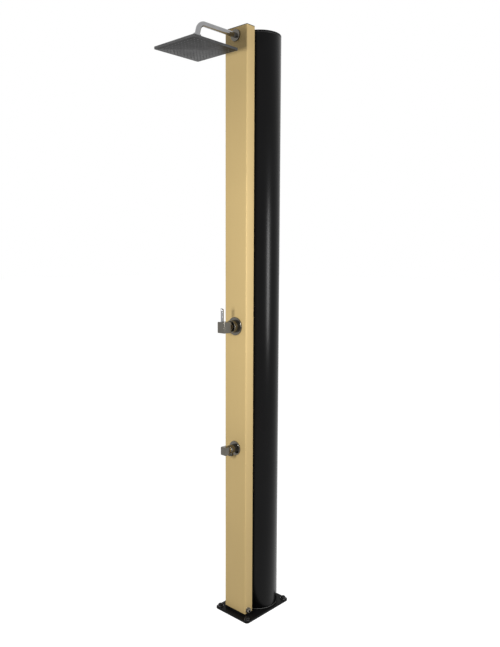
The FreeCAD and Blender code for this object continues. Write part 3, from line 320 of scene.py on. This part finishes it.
def bevelEdges(bm, edges, width, segments, clamped=False):
    bmesh.ops.bevel(
        bm,
        geom=edges,
        offset=width,
        segments=segments,
        profile=0.5,
        affect="EDGES",
        material=-1,
        clamp_overlap=clamped,
    )


def soften(bm, width, segments, sharpest=35):  # bevels every edge that is sharper than this angle
    limit = math.radians(sharpest)
    edges = [edge for edge in bm.edges if edge.is_manifold and edge.calc_face_angle() > limit]
    bevelEdges(bm, edges, width, segments, clamped=True)
    return bm


def block(low, high):
    bm = bmesh.new()
    bmesh.ops.create_cube(bm, size=1)
    low = Vector(low)
    high = Vector(high)
    bm.transform(Matrix.Translation((low + high) / 2) @ Matrix.Diagonal((*(high - low), 1)))
    return bm


def uprightEdges(bm):
    return [edge for edge in bm.edges if abs((edge.verts[0].co - edge.verts[1].co).normalized().z) > 0.99]


def once(items):  # the same items in the same order, without repeats
    return list(dict.fromkeys(items))


def edgesIn(geometry):
    return [item for item in geometry if isinstance(item, bmesh.types.BMEdge)]


def newEdges(geometry):  # the outer edges that an extrude or a spin has just made
    return [edge for edge in edgesIn(geometry) if edge.is_boundary]


def cornersIn(items):  # the corners of some edges or faces
    return once(vert for item in items for vert in item.verts)


def underside(bm):  # the largest face that looks straight down
    flat = [face for face in bm.faces if face.normal.z < -0.999]
    return max(flat, key=lambda face: face.calc_area())


def sinkRound(bm, face, centre, radius, depth):  # a round recess in a flat four-sided face
    bmesh.ops.inset_individual(bm, faces=[face], thickness=radius * 0.6)
    bmesh.ops.subdivide_edges(bm, edges=face.edges[:], cuts=7)
    middle = face.calc_center_median()  # the inset square now becomes the circle
    for vert in face.verts:
        vert.co = centre + (vert.co - middle).normalized() * radius
    floor = bmesh.ops.extrude_discrete_faces(bm, faces=[face])["faces"][0]
    bmesh.ops.translate(bm, verts=floor.verts, vec=floor.normal * -depth)


def sinkHexagon(bm, acrossFlats, depth):  # a hexagon socket under the round opening in a spun head's top
    rim = [edge for edge in bm.edges if edge.is_boundary]
    top = rim[0].verts[0].co.z
    corners = bmesh.ops.create_circle(bm, radius=acrossFlats / math.sqrt(3), segments=6)["verts"]
    bmesh.ops.translate(bm, verts=corners, vec=(0, 0, top))
    sides = once(edge for vert in corners for edge in vert.link_edges)
    cut = bmesh.ops.subdivide_edges(bm, edges=sides, cuts=len(rim) // 6 - 1)["geom"]
    sides = once(edgesIn(cut) + [edge for edge in sides if edge.is_valid])
    bmesh.ops.bridge_loops(bm, edges=rim + sides)
    bottom = newEdges(bmesh.ops.extrude_edge_only(bm, edges=sides)["geom"])
    bmesh.ops.translate(bm, verts=cornersIn(bottom), vec=(0, 0, -depth))
    bmesh.ops.contextual_create(bm, geom=bottom)
    bmesh.ops.recalc_face_normals(bm, faces=bm.faces)
    return bm


def joined(*parts):
    whole = bmesh.new()
    for part in parts:
        mesh = bpy.data.meshes.new("part")
        part.to_mesh(mesh)
        part.free()
        whole.from_mesh(mesh)
        bpy.data.meshes.remove(mesh)
    return whole


def addPiece(name, bm, node, finish=None, sharpest=38):
    mesh = bpy.data.meshes.new(name)
    bm.to_mesh(mesh)
    bm.free()
    mesh.shade_smooth()
    mesh.set_sharp_from_angle(angle=math.radians(sharpest))
    slot = finish or slotOf[node]
    mesh.materials.append(finishes[slot])
    piece = bpy.data.objects.new(name, mesh)
    bpy.context.scene.collection.objects.link(piece)
    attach(piece, bodyOf[node])
    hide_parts(node)


# places read from the frame

def middleOf(node):
    low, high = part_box(node)
    return (low + high) / 2


def halfWidth(node):
    low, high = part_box(node)
    return (high.x - low.x) / 2


def heightsOf(node):
    return [corner.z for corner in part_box(node)]


def cornersOf(node, inset):  # the four corner places of a group of round pieces
    low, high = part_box(node)
    return [(x, y) for x in (low.x + inset, high.x - inset) for y in (low.y + inset, high.y - inset)]


def faceStation(node):  # how far a piece's back and front lie in front of the profile's face
    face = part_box("front_profile")[0].y
    low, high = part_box(node)
    return face - high.y, face - low.y


def onFace(height):  # the point of the profile's face on its middle line, at a height
    return Vector((0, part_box("front_profile")[0].y, height))


def grubPlace(node, height):
    middle = middleOf(node)
    return Vector((middle.x, middle.y, height))


# profile and its cap

profileLook = {"corner": 0.0035, "cornerSteps": 8, "wall": 0.002, "capEdge": 0.0006, "capRim": 0.0023}


def makeProfile():
    bm = block(*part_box("front_profile"))
    bevelEdges(bm, uprightEdges(bm), profileLook["corner"], segments=profileLook["cornerSteps"])
    ends = [face for face in bm.faces if abs(face.normal.z) > 0.9]
    bmesh.ops.delete(bm, geom=ends, context="FACES_ONLY")
    bmesh.ops.solidify(bm, geom=bm.faces, thickness=profileLook["wall"])
    addPiece("goldProfile", bm, "front_profile")


def makeProfileCap():
    low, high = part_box("profile_cap")
    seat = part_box("front_profile")[1].z  # the lid lies on the profile, and a plug goes down into it
    bm = block((low.x, low.y, seat), high)
    bevelEdges(bm, uprightEdges(bm), profileLook["corner"], segments=profileLook["cornerSteps"])
    bottom = [face for face in bm.faces if face.normal.z < -0.9]
    bmesh.ops.inset_individual(bm, faces=bottom, thickness=profileLook["capRim"])
    plug = bmesh.ops.extrude_discrete_faces(bm, faces=bottom)["faces"]
    bmesh.ops.translate(bm, verts=cornersIn(plug), vec=(0, 0, low.z - seat))
    soften(bm, profileLook["capEdge"], segments=2, sharpest=60)
    addPiece("profileCap", bm, "profile_cap")


makeProfile()
makeProfileCap()
print("profile made")


# hot-water tank

tankLook = {
    "steps": 192,
    "wall": 0.004,
    "tubeEdge": 0.0004,
    "gasketInset": 0.0003,
    "gasketEdge": 0.0005,
    "plugGap": 0.0003,
    "lidRounding": 0.002,
    "lidEdge": 0.0003,
    "lidGroove": (0.0725, 0.0008),  # the radius and the depth of the ring cut in the lid
    "baseEdge": 0.0005,
}


def addTankPiece(name, node, outline, edge):
    axis = middleOf("tank_base")
    axis.z = 0
    shell = soften(spun(outline, tankLook["steps"]), edge, segments=2)
    addPiece(name, put(shell, axis), node)


def makeTank():
    radius = halfWidth("tank_base")
    bore = radius - tankLook["wall"]
    plug = bore - tankLook["plugGap"]
    tube = ringOutline(bore, radius, *heightsOf("tank_tube"))
    addTankPiece("tankTube", "tank_tube", tube, tankLook["tubeEdge"])
    for name, node in (("baseGasket", "tank_base_gasket"), ("lidGasket", "tank_lid_gasket")):
        ring = ringOutline(bore, radius - tankLook["gasketInset"], *heightsOf(node))
        addTankPiece(name, node, ring, tankLook["gasketEdge"])

    low, high = heightsOf("tank_lid")
    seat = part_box("tank_lid_gasket")[1].z
    rounding = tankLook["lidRounding"]
    ring, groove = tankLook["lidGroove"]
    outline = [(0, high), (ring - groove, high), (ring, high - groove), (ring + groove, high)]
    outline += arc((radius - rounding, high - rounding), rounding, 90, 0, 6)
    outline += [(radius, seat), (plug, seat), (plug, low), (0, low)]
    addTankPiece("tankLid", "tank_lid", outline, tankLook["lidEdge"])

    low, high = heightsOf("tank_base")
    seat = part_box("tank_base_gasket")[0].z
    outline = [(0, low), (radius, low), (radius, seat), (plug, seat), (plug, high), (0, high)]
    addTankPiece("tankBase", "tank_base", outline, tankLook["baseEdge"])


makeTank()
print("tank made")


# ground fixings

capLook = {
    "radius": 0.010,
    "skirt": 0.0028,
    "wall": 0.0016,
    "hollow": (0.7, 2.2),  # where the dome's inside bends: share of its radius, walls below the top
    "edge": 0.0003,
    "steps": 48,
}


def makeAnchorCaps():
    low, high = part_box("anchor_caps")
    height = high.z - low.z
    radius, skirt, wall = capLook["radius"], capLook["skirt"], capLook["wall"]
    share, walls = capLook["hollow"]
    inner = radius - wall
    turns = [math.radians(turn) for turn in range(84, -1, -7)]  # from near the dome's top down to its skirt
    outline = [(0, height)]
    outline += [(radius * math.cos(turn), skirt + (height - skirt) * math.sin(turn)) for turn in turns]
    outline += [(radius, 0), (inner, 0), (inner, skirt)]
    outline += [(inner * share, height - walls * wall), (0, height - wall)]
    domes = []
    for x, y in cornersOf("anchor_caps", radius):
        dome = soften(spun(outline, capLook["steps"]), capLook["edge"], segments=2, sharpest=50)
        domes.append(put(dome, (x, y, low.z)))
    addPiece("anchorCaps", joined(*domes), "anchor_caps")


screwLook = {
    "shank": 0.002,
    "head": 0.004,
    "rounding": 0.8,  # as a share of the head's height
    "opening": 0.0018,
    "flats": 0.0025,
    "socket": 0.0011,
    "steps": 48,
}


def makeProfileScrews():
    low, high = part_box("profile_screws")
    look = screwLook
    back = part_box("front_profile")[1].y
    head = high.y - back
    rounding = head * look["rounding"]
    outline = [(0, low.y - back), (look["shank"], low.y - back), (look["shank"], 0), (look["head"], 0)]
    outline += arc((look["head"] - rounding, head - rounding), rounding, 0, 90, 6)
    outline += [(look["opening"], head)]
    screws = []
    for side in (-1, 1):
        screw = sinkHexagon(spun(outline, look["steps"]), look["flats"], look["socket"])
        screws.append(put(screw, (side * (high.x - look["head"]), back, (low.z + high.z) / 2), backward))
    addPiece("profileScrews", joined(*screws), "profile_screws")


plugLook = {
    "shank": 0.0082,
    "edge": 0.0012,
    "dish": (0.0095, 0.0004),  # radius and depth
    "opening": 0.0056,
    "flats": 0.008,
    "socket": 0.004,
    "steps": 96,
}


def makeDrainPlug():
    low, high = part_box("drain_plug")
    look = plugLook
    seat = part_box("drain_washer")[1].y
    front = high.y - seat
    radius = (high.x - low.x) / 2
    dish, depth = look["dish"]
    outline = [(0, low.y - seat), (look["shank"], low.y - seat), (look["shank"], 0), (radius, 0)]
    outline += arc((radius - look["edge"], front - look["edge"]), look["edge"], 0, 90, 5)
    outline += [(dish, front), (dish - depth, front - depth), (look["opening"], front - depth)]
    plug = sinkHexagon(spun(outline, look["steps"]), look["flats"], look["socket"])
    addPiece("drainPlug", put(plug, (0, seat, (low.z + high.z) / 2), backward), "drain_plug")


makeAnchorCaps()
makeProfileScrews()
makeDrainPlug()
print("ground fixings made")


# mixer

trimLook = {
    "steps": 96,
    "flangeBore": 0.0203,
    "flangeEdge": 0.0014,
    "collarBore": 0.02005,
    "collarMouth": 0.013,
    "collarLip": 0.002,
    "collarEdge": 0.0009,
    "groove": (0.0205, 0.0212),  # where it starts and ends in front of the profile's face
    "grooveDepth": 0.0005,
    "grooveSlope": 0.0002,
}


def makeMixerTrim():
    look = trimLook
    height = middleOf("mixer_flange").z
    outline = ringOutline(look["flangeBore"], halfWidth("mixer_flange"), *faceStation("mixer_flange"))
    flange = soften(spun(outline, look["steps"]), look["flangeEdge"], segments=4)
    addPiece("mixerFlange", put(flange, onFace(height), forward), "mixer_flange")

    back, front = faceStation("mixer_collar")
    radius = halfWidth("mixer_collar")
    waist = radius - look["grooveDepth"]
    start, end = look["groove"]
    outline = [
        (look["collarBore"], back),
        (radius, back),
        (radius, start),
        (waist, start + look["grooveSlope"]),
        (waist, end - look["grooveSlope"]),
        (radius, end),
        (radius, front),
        (look["collarMouth"], front),
        (look["collarMouth"], front - look["collarLip"]),
        (look["collarBore"], front - look["collarLip"]),
    ]
    collar = spun(outline, look["steps"])
    frontEdges = [edge for edge in collar.edges if min(vert.co.z for vert in edge.verts) > front - near]
    corners = [edge for edge in frontEdges if edge.calc_face_angle() > math.radians(70)]
    bevelEdges(collar, corners, look["collarEdge"], segments=4)
    addPiece("mixerCollar", put(collar, onFace(height), forward), "mixer_collar")


handleLook = {
    "edge": 0.0018,
    "neckRadius": 0.0085,
    "neckLength": 0.006,
    "neckRoot": 0.004,  # how deep the neck starts inside the cube
    "neckEdge": 0.0006,
    "steps": 64,
    "grub": (0.0025, 0.0015),  # radius and depth of the grub screw's recess
}


def makeMixerHandle():
    look = handleLook
    low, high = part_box("mixer_handle")
    neck, root, radius = look["neckLength"], look["neckRoot"], look["neckRadius"]
    cube = block(low, (high.x, high.y - neck, high.z))
    bevelEdges(cube, cube.edges[:], look["edge"], segments=6)
    sinkRound(cube, underside(cube), grubPlace("handle_grub_screw", low.z), *look["grub"])
    outline = [(0, -root), (radius, -root), (radius, neck), (0, neck)]
    stem = soften(spun(outline, look["steps"]), look["neckEdge"], segments=3)
    put(stem, (0, high.y - neck, (low.z + high.z) / 2), backward)
    addPiece("mixerHandle", joined(cube, stem), "mixer_handle")


leverLook = {"edge": 0.0006, "slope": 0.005}


def makeMixerLever():
    low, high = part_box("mixer_lever")
    bar = block(low, high)
    topEdges = [edge for edge in bar.edges if min(vert.co.z for vert in edge.verts) > high.z - near]
    topBack = [edge for edge in topEdges if min(vert.co.y for vert in edge.verts) > high.y - near]
    bmesh.ops.translate(bar, verts=cornersIn(topBack), vec=(0, 0, -leverLook["slope"]))
    bevelEdges(bar, bar.edges[:], leverLook["edge"], segments=4)
    addPiece("mixerLever", bar, "mixer_lever")


makeMixerTrim()
makeMixerHandle()
makeMixerLever()
print("mixer made")


# foot tap and hose inlet

threadLook = {
    "pitch": 0.001814,
    "root": 0.0094,
    "crest": 0.01048,
    "flanks": (0.15, 0.45, 0.60, 0.90),  # where a tooth rises and falls, as shares of the pitch
    "steps": 64,
}


def threadOutline(start, end):  # crests and roots of a pipe thread from start to end, at the pipe's outside
    pitch, root, crest = threadLook["pitch"], threadLook["root"], threadLook["crest"]
    points = []
    for turn in range(int((end - start) / pitch)):
        base = start + turn * pitch
        for radius, share in zip((root, crest, crest, root), threadLook["flanks"]):
            points.append((radius, base + share * pitch))
    return points


footLook = {
    "steps": 96,
    "flangeBore": 0.0086,
    "flangeEdge": 0.0014,
    "stem": (0.0083, 0.005),  # radius, and how far in front of the face it ends
    "bodyEdge": 0.001,
    "knobEdge": 0.0016,
    "grub": (0.002, 0.0015),  # radius and depth of the grub screw's recess
}
spoutLook = {
    "reach": 0.025,
    "bore": 0.006,
    "lip": 0.0092,
    "neck": 0.0085,
    "neckStart": 0.0078,
    "thread": (0.0006, 0.008),  # where it starts and ends above the spout's mouth
}


def makeFootFlange():
    outline = ringOutline(footLook["flangeBore"], halfWidth("foot_flange"), *faceStation("foot_flange"))
    flange = soften(spun(outline, footLook["steps"]), footLook["flangeEdge"], segments=4)
    addPiece("footFlange", put(flange, onFace(middleOf("foot_flange").z), forward), "foot_flange")


def makeTapBody():
    height = middleOf("foot_flange").z
    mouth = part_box("tap_body")[0].z
    back, front = faceStation("tap_body")
    radius = halfWidth("tap_body")
    stem, stemEnd = footLook["stem"]
    outline = [(0, back), (stem, back), (stem, stemEnd), (radius, stemEnd), (radius, front), (0, front)]
    barrel = soften(spun(outline, footLook["steps"]), footLook["bodyEdge"], segments=4)
    put(barrel, onFace(height), forward)

    look = spoutLook
    outline = [(look["bore"], mouth), (look["lip"], mouth)]
    outline += threadOutline(*(mouth + rise for rise in look["thread"]))
    outline += [(look["neck"], mouth + look["neckStart"]), (look["neck"], height), (look["bore"], height)]
    spout = put(spun(outline, threadLook["steps"]), onFace(0) + Vector(forward) * look["reach"])
    addPiece("tapBody", joined(barrel, spout), "tap_body")


def makeTapKnob():
    low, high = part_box("tap_knob")
    knob = block(low, high)
    bevelEdges(knob, knob.edges[:], footLook["knobEdge"], segments=6)
    sinkRound(knob, underside(knob), grubPlace("knob_grub_screw", low.z), *footLook["grub"])
    addPiece("tapKnob", knob, "tap_knob")


inletLook = {"bore": 0.0045, "sleeve": 0.0095, "lip": 0.0090, "threadStart": 0.0008, "threadEnd": 0.0004}


def makeHoseInlet():
    look = inletLook
    low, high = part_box("hose_inlet")
    middle = middleOf("hose_inlet")
    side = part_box("front_profile")[1].x  # the profile's side, where the inlet comes out
    outline = [(look["bore"], low.x), (look["sleeve"], low.x)]
    outline += [(look["sleeve"], side), (threadLook["crest"], side)]
    outline += threadOutline(side + look["threadStart"], high.x - look["threadEnd"])
    outline += [(look["lip"], high.x), (look["bore"], high.x)]
    bm = put(spun(outline, threadLook["steps"]), (0, middle.y, middle.z), (1, 0, 0))
    # the darker plating here is painted shade: the inlet is chrome like the other fittings, darkened against
    # the side lamp's light
    addPiece("hoseInlet", bm, "hose_inlet", finish="dark_chrome")


makeFootFlange()
makeTapBody()
makeTapKnob()
makeHoseInlet()
print("foot tap and hose inlet made")


# shower arm and ball joint

armLook = {
    "radius": 0.009,
    "bend": 0.030,
    "bendSteps": 24,
    "reach": 0.152,
    "lean": math.radians(15),  # the drop leans this much from upright
    "drop": 0.030,
    "sides": 48,
}


def makeArm():
    look = armLook
    axisHeight = middleOf("arm_flange").z
    start = Vector((0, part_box("shower_arm")[1].y, axisHeight))
    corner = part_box("front_profile")[0].y - look["reach"]
    bm = bmesh.new()
    bmesh.ops.create_circle(bm, radius=look["radius"], segments=look["sides"])
    put(bm, start, forward)
    ends = newEdges(bmesh.ops.extrude_edge_only(bm, edges=bm.edges[:])["geom"])
    bmesh.ops.translate(bm, verts=cornersIn(ends), vec=(0, corner - start.y, 0))
    ends = newEdges(bmesh.ops.spin(
        bm,
        geom=ends + cornersIn(ends),
        cent=(0, corner, axisHeight - look["bend"]),
        axis=(1, 0, 0),
        angle=math.pi / 2 - look["lean"],
        steps=look["bendSteps"],
    )["geom_last"])
    ends = newEdges(bmesh.ops.extrude_edge_only(bm, edges=ends)["geom"])
    down = Vector((0, -math.sin(look["lean"]), -math.cos(look["lean"])))
    bmesh.ops.translate(bm, verts=cornersIn(ends), vec=down * look["drop"])
    bmesh.ops.holes_fill(bm, edges=[edge for edge in bm.edges if edge.is_boundary])
    bmesh.ops.recalc_face_normals(bm, faces=bm.faces)
    addPiece("showerArm", bm, "shower_arm")


flangeLook = {
    "wall": 0.0015,
    "passage": 0.0093,
    "edge": 0.0012,
    "crown": 0.0006,
    "flat": 0.72,  # the flat middle's share of the radius
    "steps": 96,
}


def makeArmFlange():
    look = flangeLook
    back, front = faceStation("arm_flange")
    radius = halfWidth("arm_flange")
    wall, passage, edge = look["wall"], look["passage"], look["edge"]
    outline = [(radius - wall, back), (radius, back)]
    outline += arc((radius - edge, front - look["crown"] - edge), edge, 0, 75, 6)
    outline += [(radius * look["flat"], front), (passage, front)]
    outline += [(passage, front - wall), (radius - wall, front - 2 * wall)]
    flange = put(spun(outline, look["steps"]), onFace(middleOf("arm_flange").z), forward)
    # the darker plating here is painted reflection: the flange is chrome like the arm, darkened as if
    # reflecting dark surroundings
    addPiece("armFlange", flange, "arm_flange", finish="dark_chrome")


nutLook = {
    "radius": 0.014,
    "below": 0.008,  # the nut's two ends, measured along it from one point inside
    "above": 0.022,
    "mouth": 0.0108,  # radii of its three bores, from below
    "chamber": 0.011,
    "chamberSlope": 0.001,
    "sleeve": 0.01045,
    "sleeveLength": 0.010,
    "lip": 0.002,
    "edge": 0.0010,
    "grip": (0.0035, 0.0165),
    "ribs": 48,
    "cut": (0.0001, 0.0005),  # inset and depth of the grooves between the ribs
}


def makeBallNut():
    look = nutLook
    radius, below, above = look["radius"], look["below"], look["above"]
    start, end = look["grip"]
    lean = armLook["lean"]
    up = Vector((0, math.sin(lean), math.cos(lean)))
    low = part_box("ball_nut")[0]
    tip = Vector((0, low.y + radius * math.cos(lean), low.z + radius * math.sin(lean)))
    outline = [
        (look["mouth"], -below),
        (radius, -below),
        (radius, start),
        (radius, end),
        (radius, above),
        (look["sleeve"], above),
        (look["sleeve"], above - look["sleeveLength"]),
        (look["chamber"], above - look["sleeveLength"] - look["chamberSlope"]),
        (look["chamber"], look["lip"] - below),
        (look["mouth"], look["lip"] - below),
    ]
    bm = spun(outline, 2 * look["ribs"])
    middles = {face: face.calc_center_median() for face in bm.faces}
    band = [face for face, at in middles.items() if start < at.z < end and at.xy.length > 0.9 * radius]
    band.sort(key=lambda face: math.atan2(middles[face].y, middles[face].x))
    inset, depth = look["cut"]
    bmesh.ops.inset_individual(bm, faces=band[::2], thickness=inset, depth=-depth)
    rims = []
    for edge in bm.edges:
        outside = all(abs(vert.co.xy.length - radius) < near for vert in edge.verts)
        heights = [vert.co.z for vert in edge.verts]
        if outside and (min(heights) > above - near or max(heights) < near - below):
            rims.append(edge)
    bevelEdges(bm, rims, look["edge"], segments=4)
    addPiece("ballNut", put(bm, tip + up * below, up), "ball_nut")


makeArm()
makeArmFlange()
makeBallNut()
print("arm made")


# shower head

headLook = {
    "thickness": 0.008,
    "corner": 0.004,
    "topEdge": 0.0008,
    "wall": 0.002,
    "bossRadius": 0.015,
    "bossFillet": 0.003,
    "bossEdge": 0.001,
    "bossSink": 0.0005,  # how deep the boss starts inside the plate
    "steps": 72,
}


def makeHead():
    look = headLook
    low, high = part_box("head_shell")
    plateTop = low.z + look["thickness"]
    bm = block(low, (high.x, high.y, plateTop))
    bevelEdges(bm, uprightEdges(bm), look["corner"], segments=8)
    top = [edge for edge in bm.edges if min(vert.co.z for vert in edge.verts) > plateTop - near]
    bevelEdges(bm, top, look["topEdge"], segments=3)
    bottom = [face for face in bm.faces if face.normal.z < -0.9]
    bmesh.ops.delete(bm, geom=bottom, context="FACES_ONLY")
    bmesh.ops.solidify(bm, geom=bm.faces, thickness=look["wall"])

    fillet, radius, edge = look["bossFillet"], look["bossRadius"], look["bossEdge"]
    root = plateTop - look["bossSink"]
    outline = [(0, root), (radius + fillet, root)]
    outline += arc((radius + fillet, plateTop + fillet), fillet, 270, 180, 6)
    outline += arc((radius - edge, high.z - edge), edge, 0, 90, 4)
    outline += [(0, high.z)]
    middle = middleOf("head_shell")
    boss = put(spun(outline, look["steps"]), (middle.x, middle.y, 0))
    addPiece("headShell", joined(bm, boss), "head_shell")


sprayLook = {"corner": 0.002, "edge": 0.0005}


def makeSprayFace():
    plate = block(*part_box("head_face"))
    bevelEdges(plate, uprightEdges(plate), sprayLook["corner"], segments=4)
    soften(plate, sprayLook["edge"], segments=3, sharpest=60)
    # the spray face takes the black moulding instead of the head's grey: painted shade on the head's
    # underside
    addPiece("sprayFace", plate, "head_face", finish="trim_black")


nozzleLook = {
    "rows": 12,
    "pitch": 0.0154,
    "matCorner": 0.002,
    "root": (0.0018, 0.0020),  # radius, and height above the tip
    "neck": (0.0016, 0.0016),
    "tip": 0.0012,
    "hole": 0.0006,
    "steps": 12,
}


def makeNozzles():
    look = nozzleLook
    low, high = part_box("nozzle_mat")
    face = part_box("head_face")[1].z
    mat = block((low.x, low.y, face), high)
    bevelEdges(mat, uprightEdges(mat), look["matCorner"], segments=3)
    root, rootRise = look["root"]
    neck, neckRise = look["neck"]
    outline = [
        (root, face),
        (root, low.z + rootRise),
        (neck, low.z + neckRise),
        (look["tip"], low.z),
        (look["hole"], low.z),
        (look["hole"], face),
    ]
    first = middleOf("nozzle_mat") - Vector((1, 1, 0)) * look["pitch"] * (look["rows"] - 1) / 2
    nozzles = []
    for column in range(look["rows"]):
        for row in range(look["rows"]):
            place = first + Vector((column, row, 0)) * look["pitch"]
            nozzles.append(put(spun(outline, look["steps"]), (place.x, place.y, 0)))
    addPiece("nozzleMat", joined(mat, *nozzles), "nozzle_mat", sharpest=50)


makeHead()
makeSprayFace()
makeNozzles()
print("head made")


# stage, lights and camera

stageLook = {
    "floorSize": 60,
    "floorColour": (0.4, 0.4, 0.4),
    "floorRoughness": 0.9,
    "floorGloss": 0.1,
    "floorGlow": 0.91,
    "skyFill": 0.22,
}


def openRays(tree):  # 1 where the camera, a mirror or a clear piece looks straight at a surface, otherwise 0
    rays = tree.nodes.new("ShaderNodeLightPath")
    total = rays.outputs["Is Camera Ray"]
    for kind in ("Is Glossy Ray", "Is Transmission Ray"):
        either = tree.nodes.new("ShaderNodeMath")
        either.operation = "MAXIMUM"
        tree.links.new(total, either.inputs[0])
        tree.links.new(rays.outputs[kind], either.inputs[1])
        total = either.outputs[0]
    return total


def between(tree, share, low, high):
    spread = tree.nodes.new("ShaderNodeMapRange")
    spread.inputs["To Min"].default_value = low
    spread.inputs["To Max"].default_value = high
    tree.links.new(share, spread.inputs["Value"])
    return spread.outputs["Result"]


def makeFloor():
    look = stageLook
    bm = bmesh.new()
    bmesh.ops.create_grid(bm, x_segments=1, y_segments=1, size=look["floorSize"] / 2)
    mesh = bpy.data.meshes.new("floor")
    bm.to_mesh(mesh)
    bm.free()
    floor = bpy.data.objects.new("floor", mesh)
    bpy.context.scene.collection.objects.link(floor)
    colour, roughness, gloss = look["floorColour"], look["floorRoughness"], look["floorGloss"]
    material, shader = newMaterial("pale floor", colour, 0, roughness, gloss)
    shader.inputs["Emission Color"].default_value = (1, 1, 1, 1)
    tree = material.node_tree
    glow = between(tree, openRays(tree), 0, look["floorGlow"])
    tree.links.new(glow, shader.inputs["Emission Strength"])
    mesh.materials.append(material)


def makeWorld():
    world = bpy.data.worlds.new("studio")
    bpy.context.scene.world = world
    world.use_nodes = True
    tree = world.node_tree
    background = tree.nodes["Background"]
    background.inputs["Color"].default_value = (1, 1, 1, 1)
    tree.links.new(between(tree, openRays(tree), stageLook["skyFill"], 1), background.inputs["Strength"])


lampLook = {
    "front box": {"place": (0.34, -2.02, 1.38), "aim": (0, -0.1, 1.30), "size": (0.4, 0.4), "power": 31},
    "side box": {"place": (1.94, 0.24, 1.40), "aim": (0.05, 0, 1.32), "size": (0.3, 1.0), "power": 25.5},
    "gloss strip": {"place": (1.94, 0.24, 1.40), "aim": (0.05, 0, 1.32), "size": (0.2, 1.1), "power": 24},
}
glossOnly = ("gloss strip",)  # shows as a highlight and lights no surface


def makeLamps():
    for name, look in lampLook.items():
        lamp = bpy.data.lights.new(name, "AREA")
        lamp.shape = "RECTANGLE"
        lamp.size, lamp.size_y = look["size"]
        lamp.energy = look["power"]
        holder = bpy.data.objects.new(name, lamp)
        holder.location = look["place"]
        aim = Vector(look["aim"]) - Vector(look["place"])
        holder.rotation_euler = aim.to_track_quat("-Z", "Y").to_euler()
        holder.visible_diffuse = name not in glossOnly
        bpy.context.scene.collection.objects.link(holder)


cameraLook = {
    "place": (1.69822, -1.83993, 1.40278),
    "heading": 43.0117,  # degrees, as the next two
    "pitch": -6.1635,
    "roll": 0.2315,
    "lens": 36.5565,
    "sensor": 36,
    "farthest": 100,
}


def makeCamera():
    look = cameraLook
    camera = bpy.data.cameras.new("camera")
    camera.lens = look["lens"]
    camera.sensor_width = look["sensor"]
    camera.clip_end = look["farthest"]
    heading = Matrix.Rotation(math.radians(look["heading"]), 4, "Z")
    tilt = Matrix.Rotation(math.radians(90 + look["pitch"]), 4, "X")
    roll = Matrix.Rotation(math.radians(look["roll"]), 4, "Z")
    holder = bpy.data.objects.new("camera", camera)
    holder.matrix_world = Matrix.Translation(look["place"]) @ heading @ tilt @ roll
    bpy.context.scene.collection.objects.link(holder)
    bpy.context.scene.camera = holder


makeFloor()
makeWorld()
makeLamps()
makeCamera()
bpy.context.scene.view_settings.view_transform = "Standard"
print("stage made")
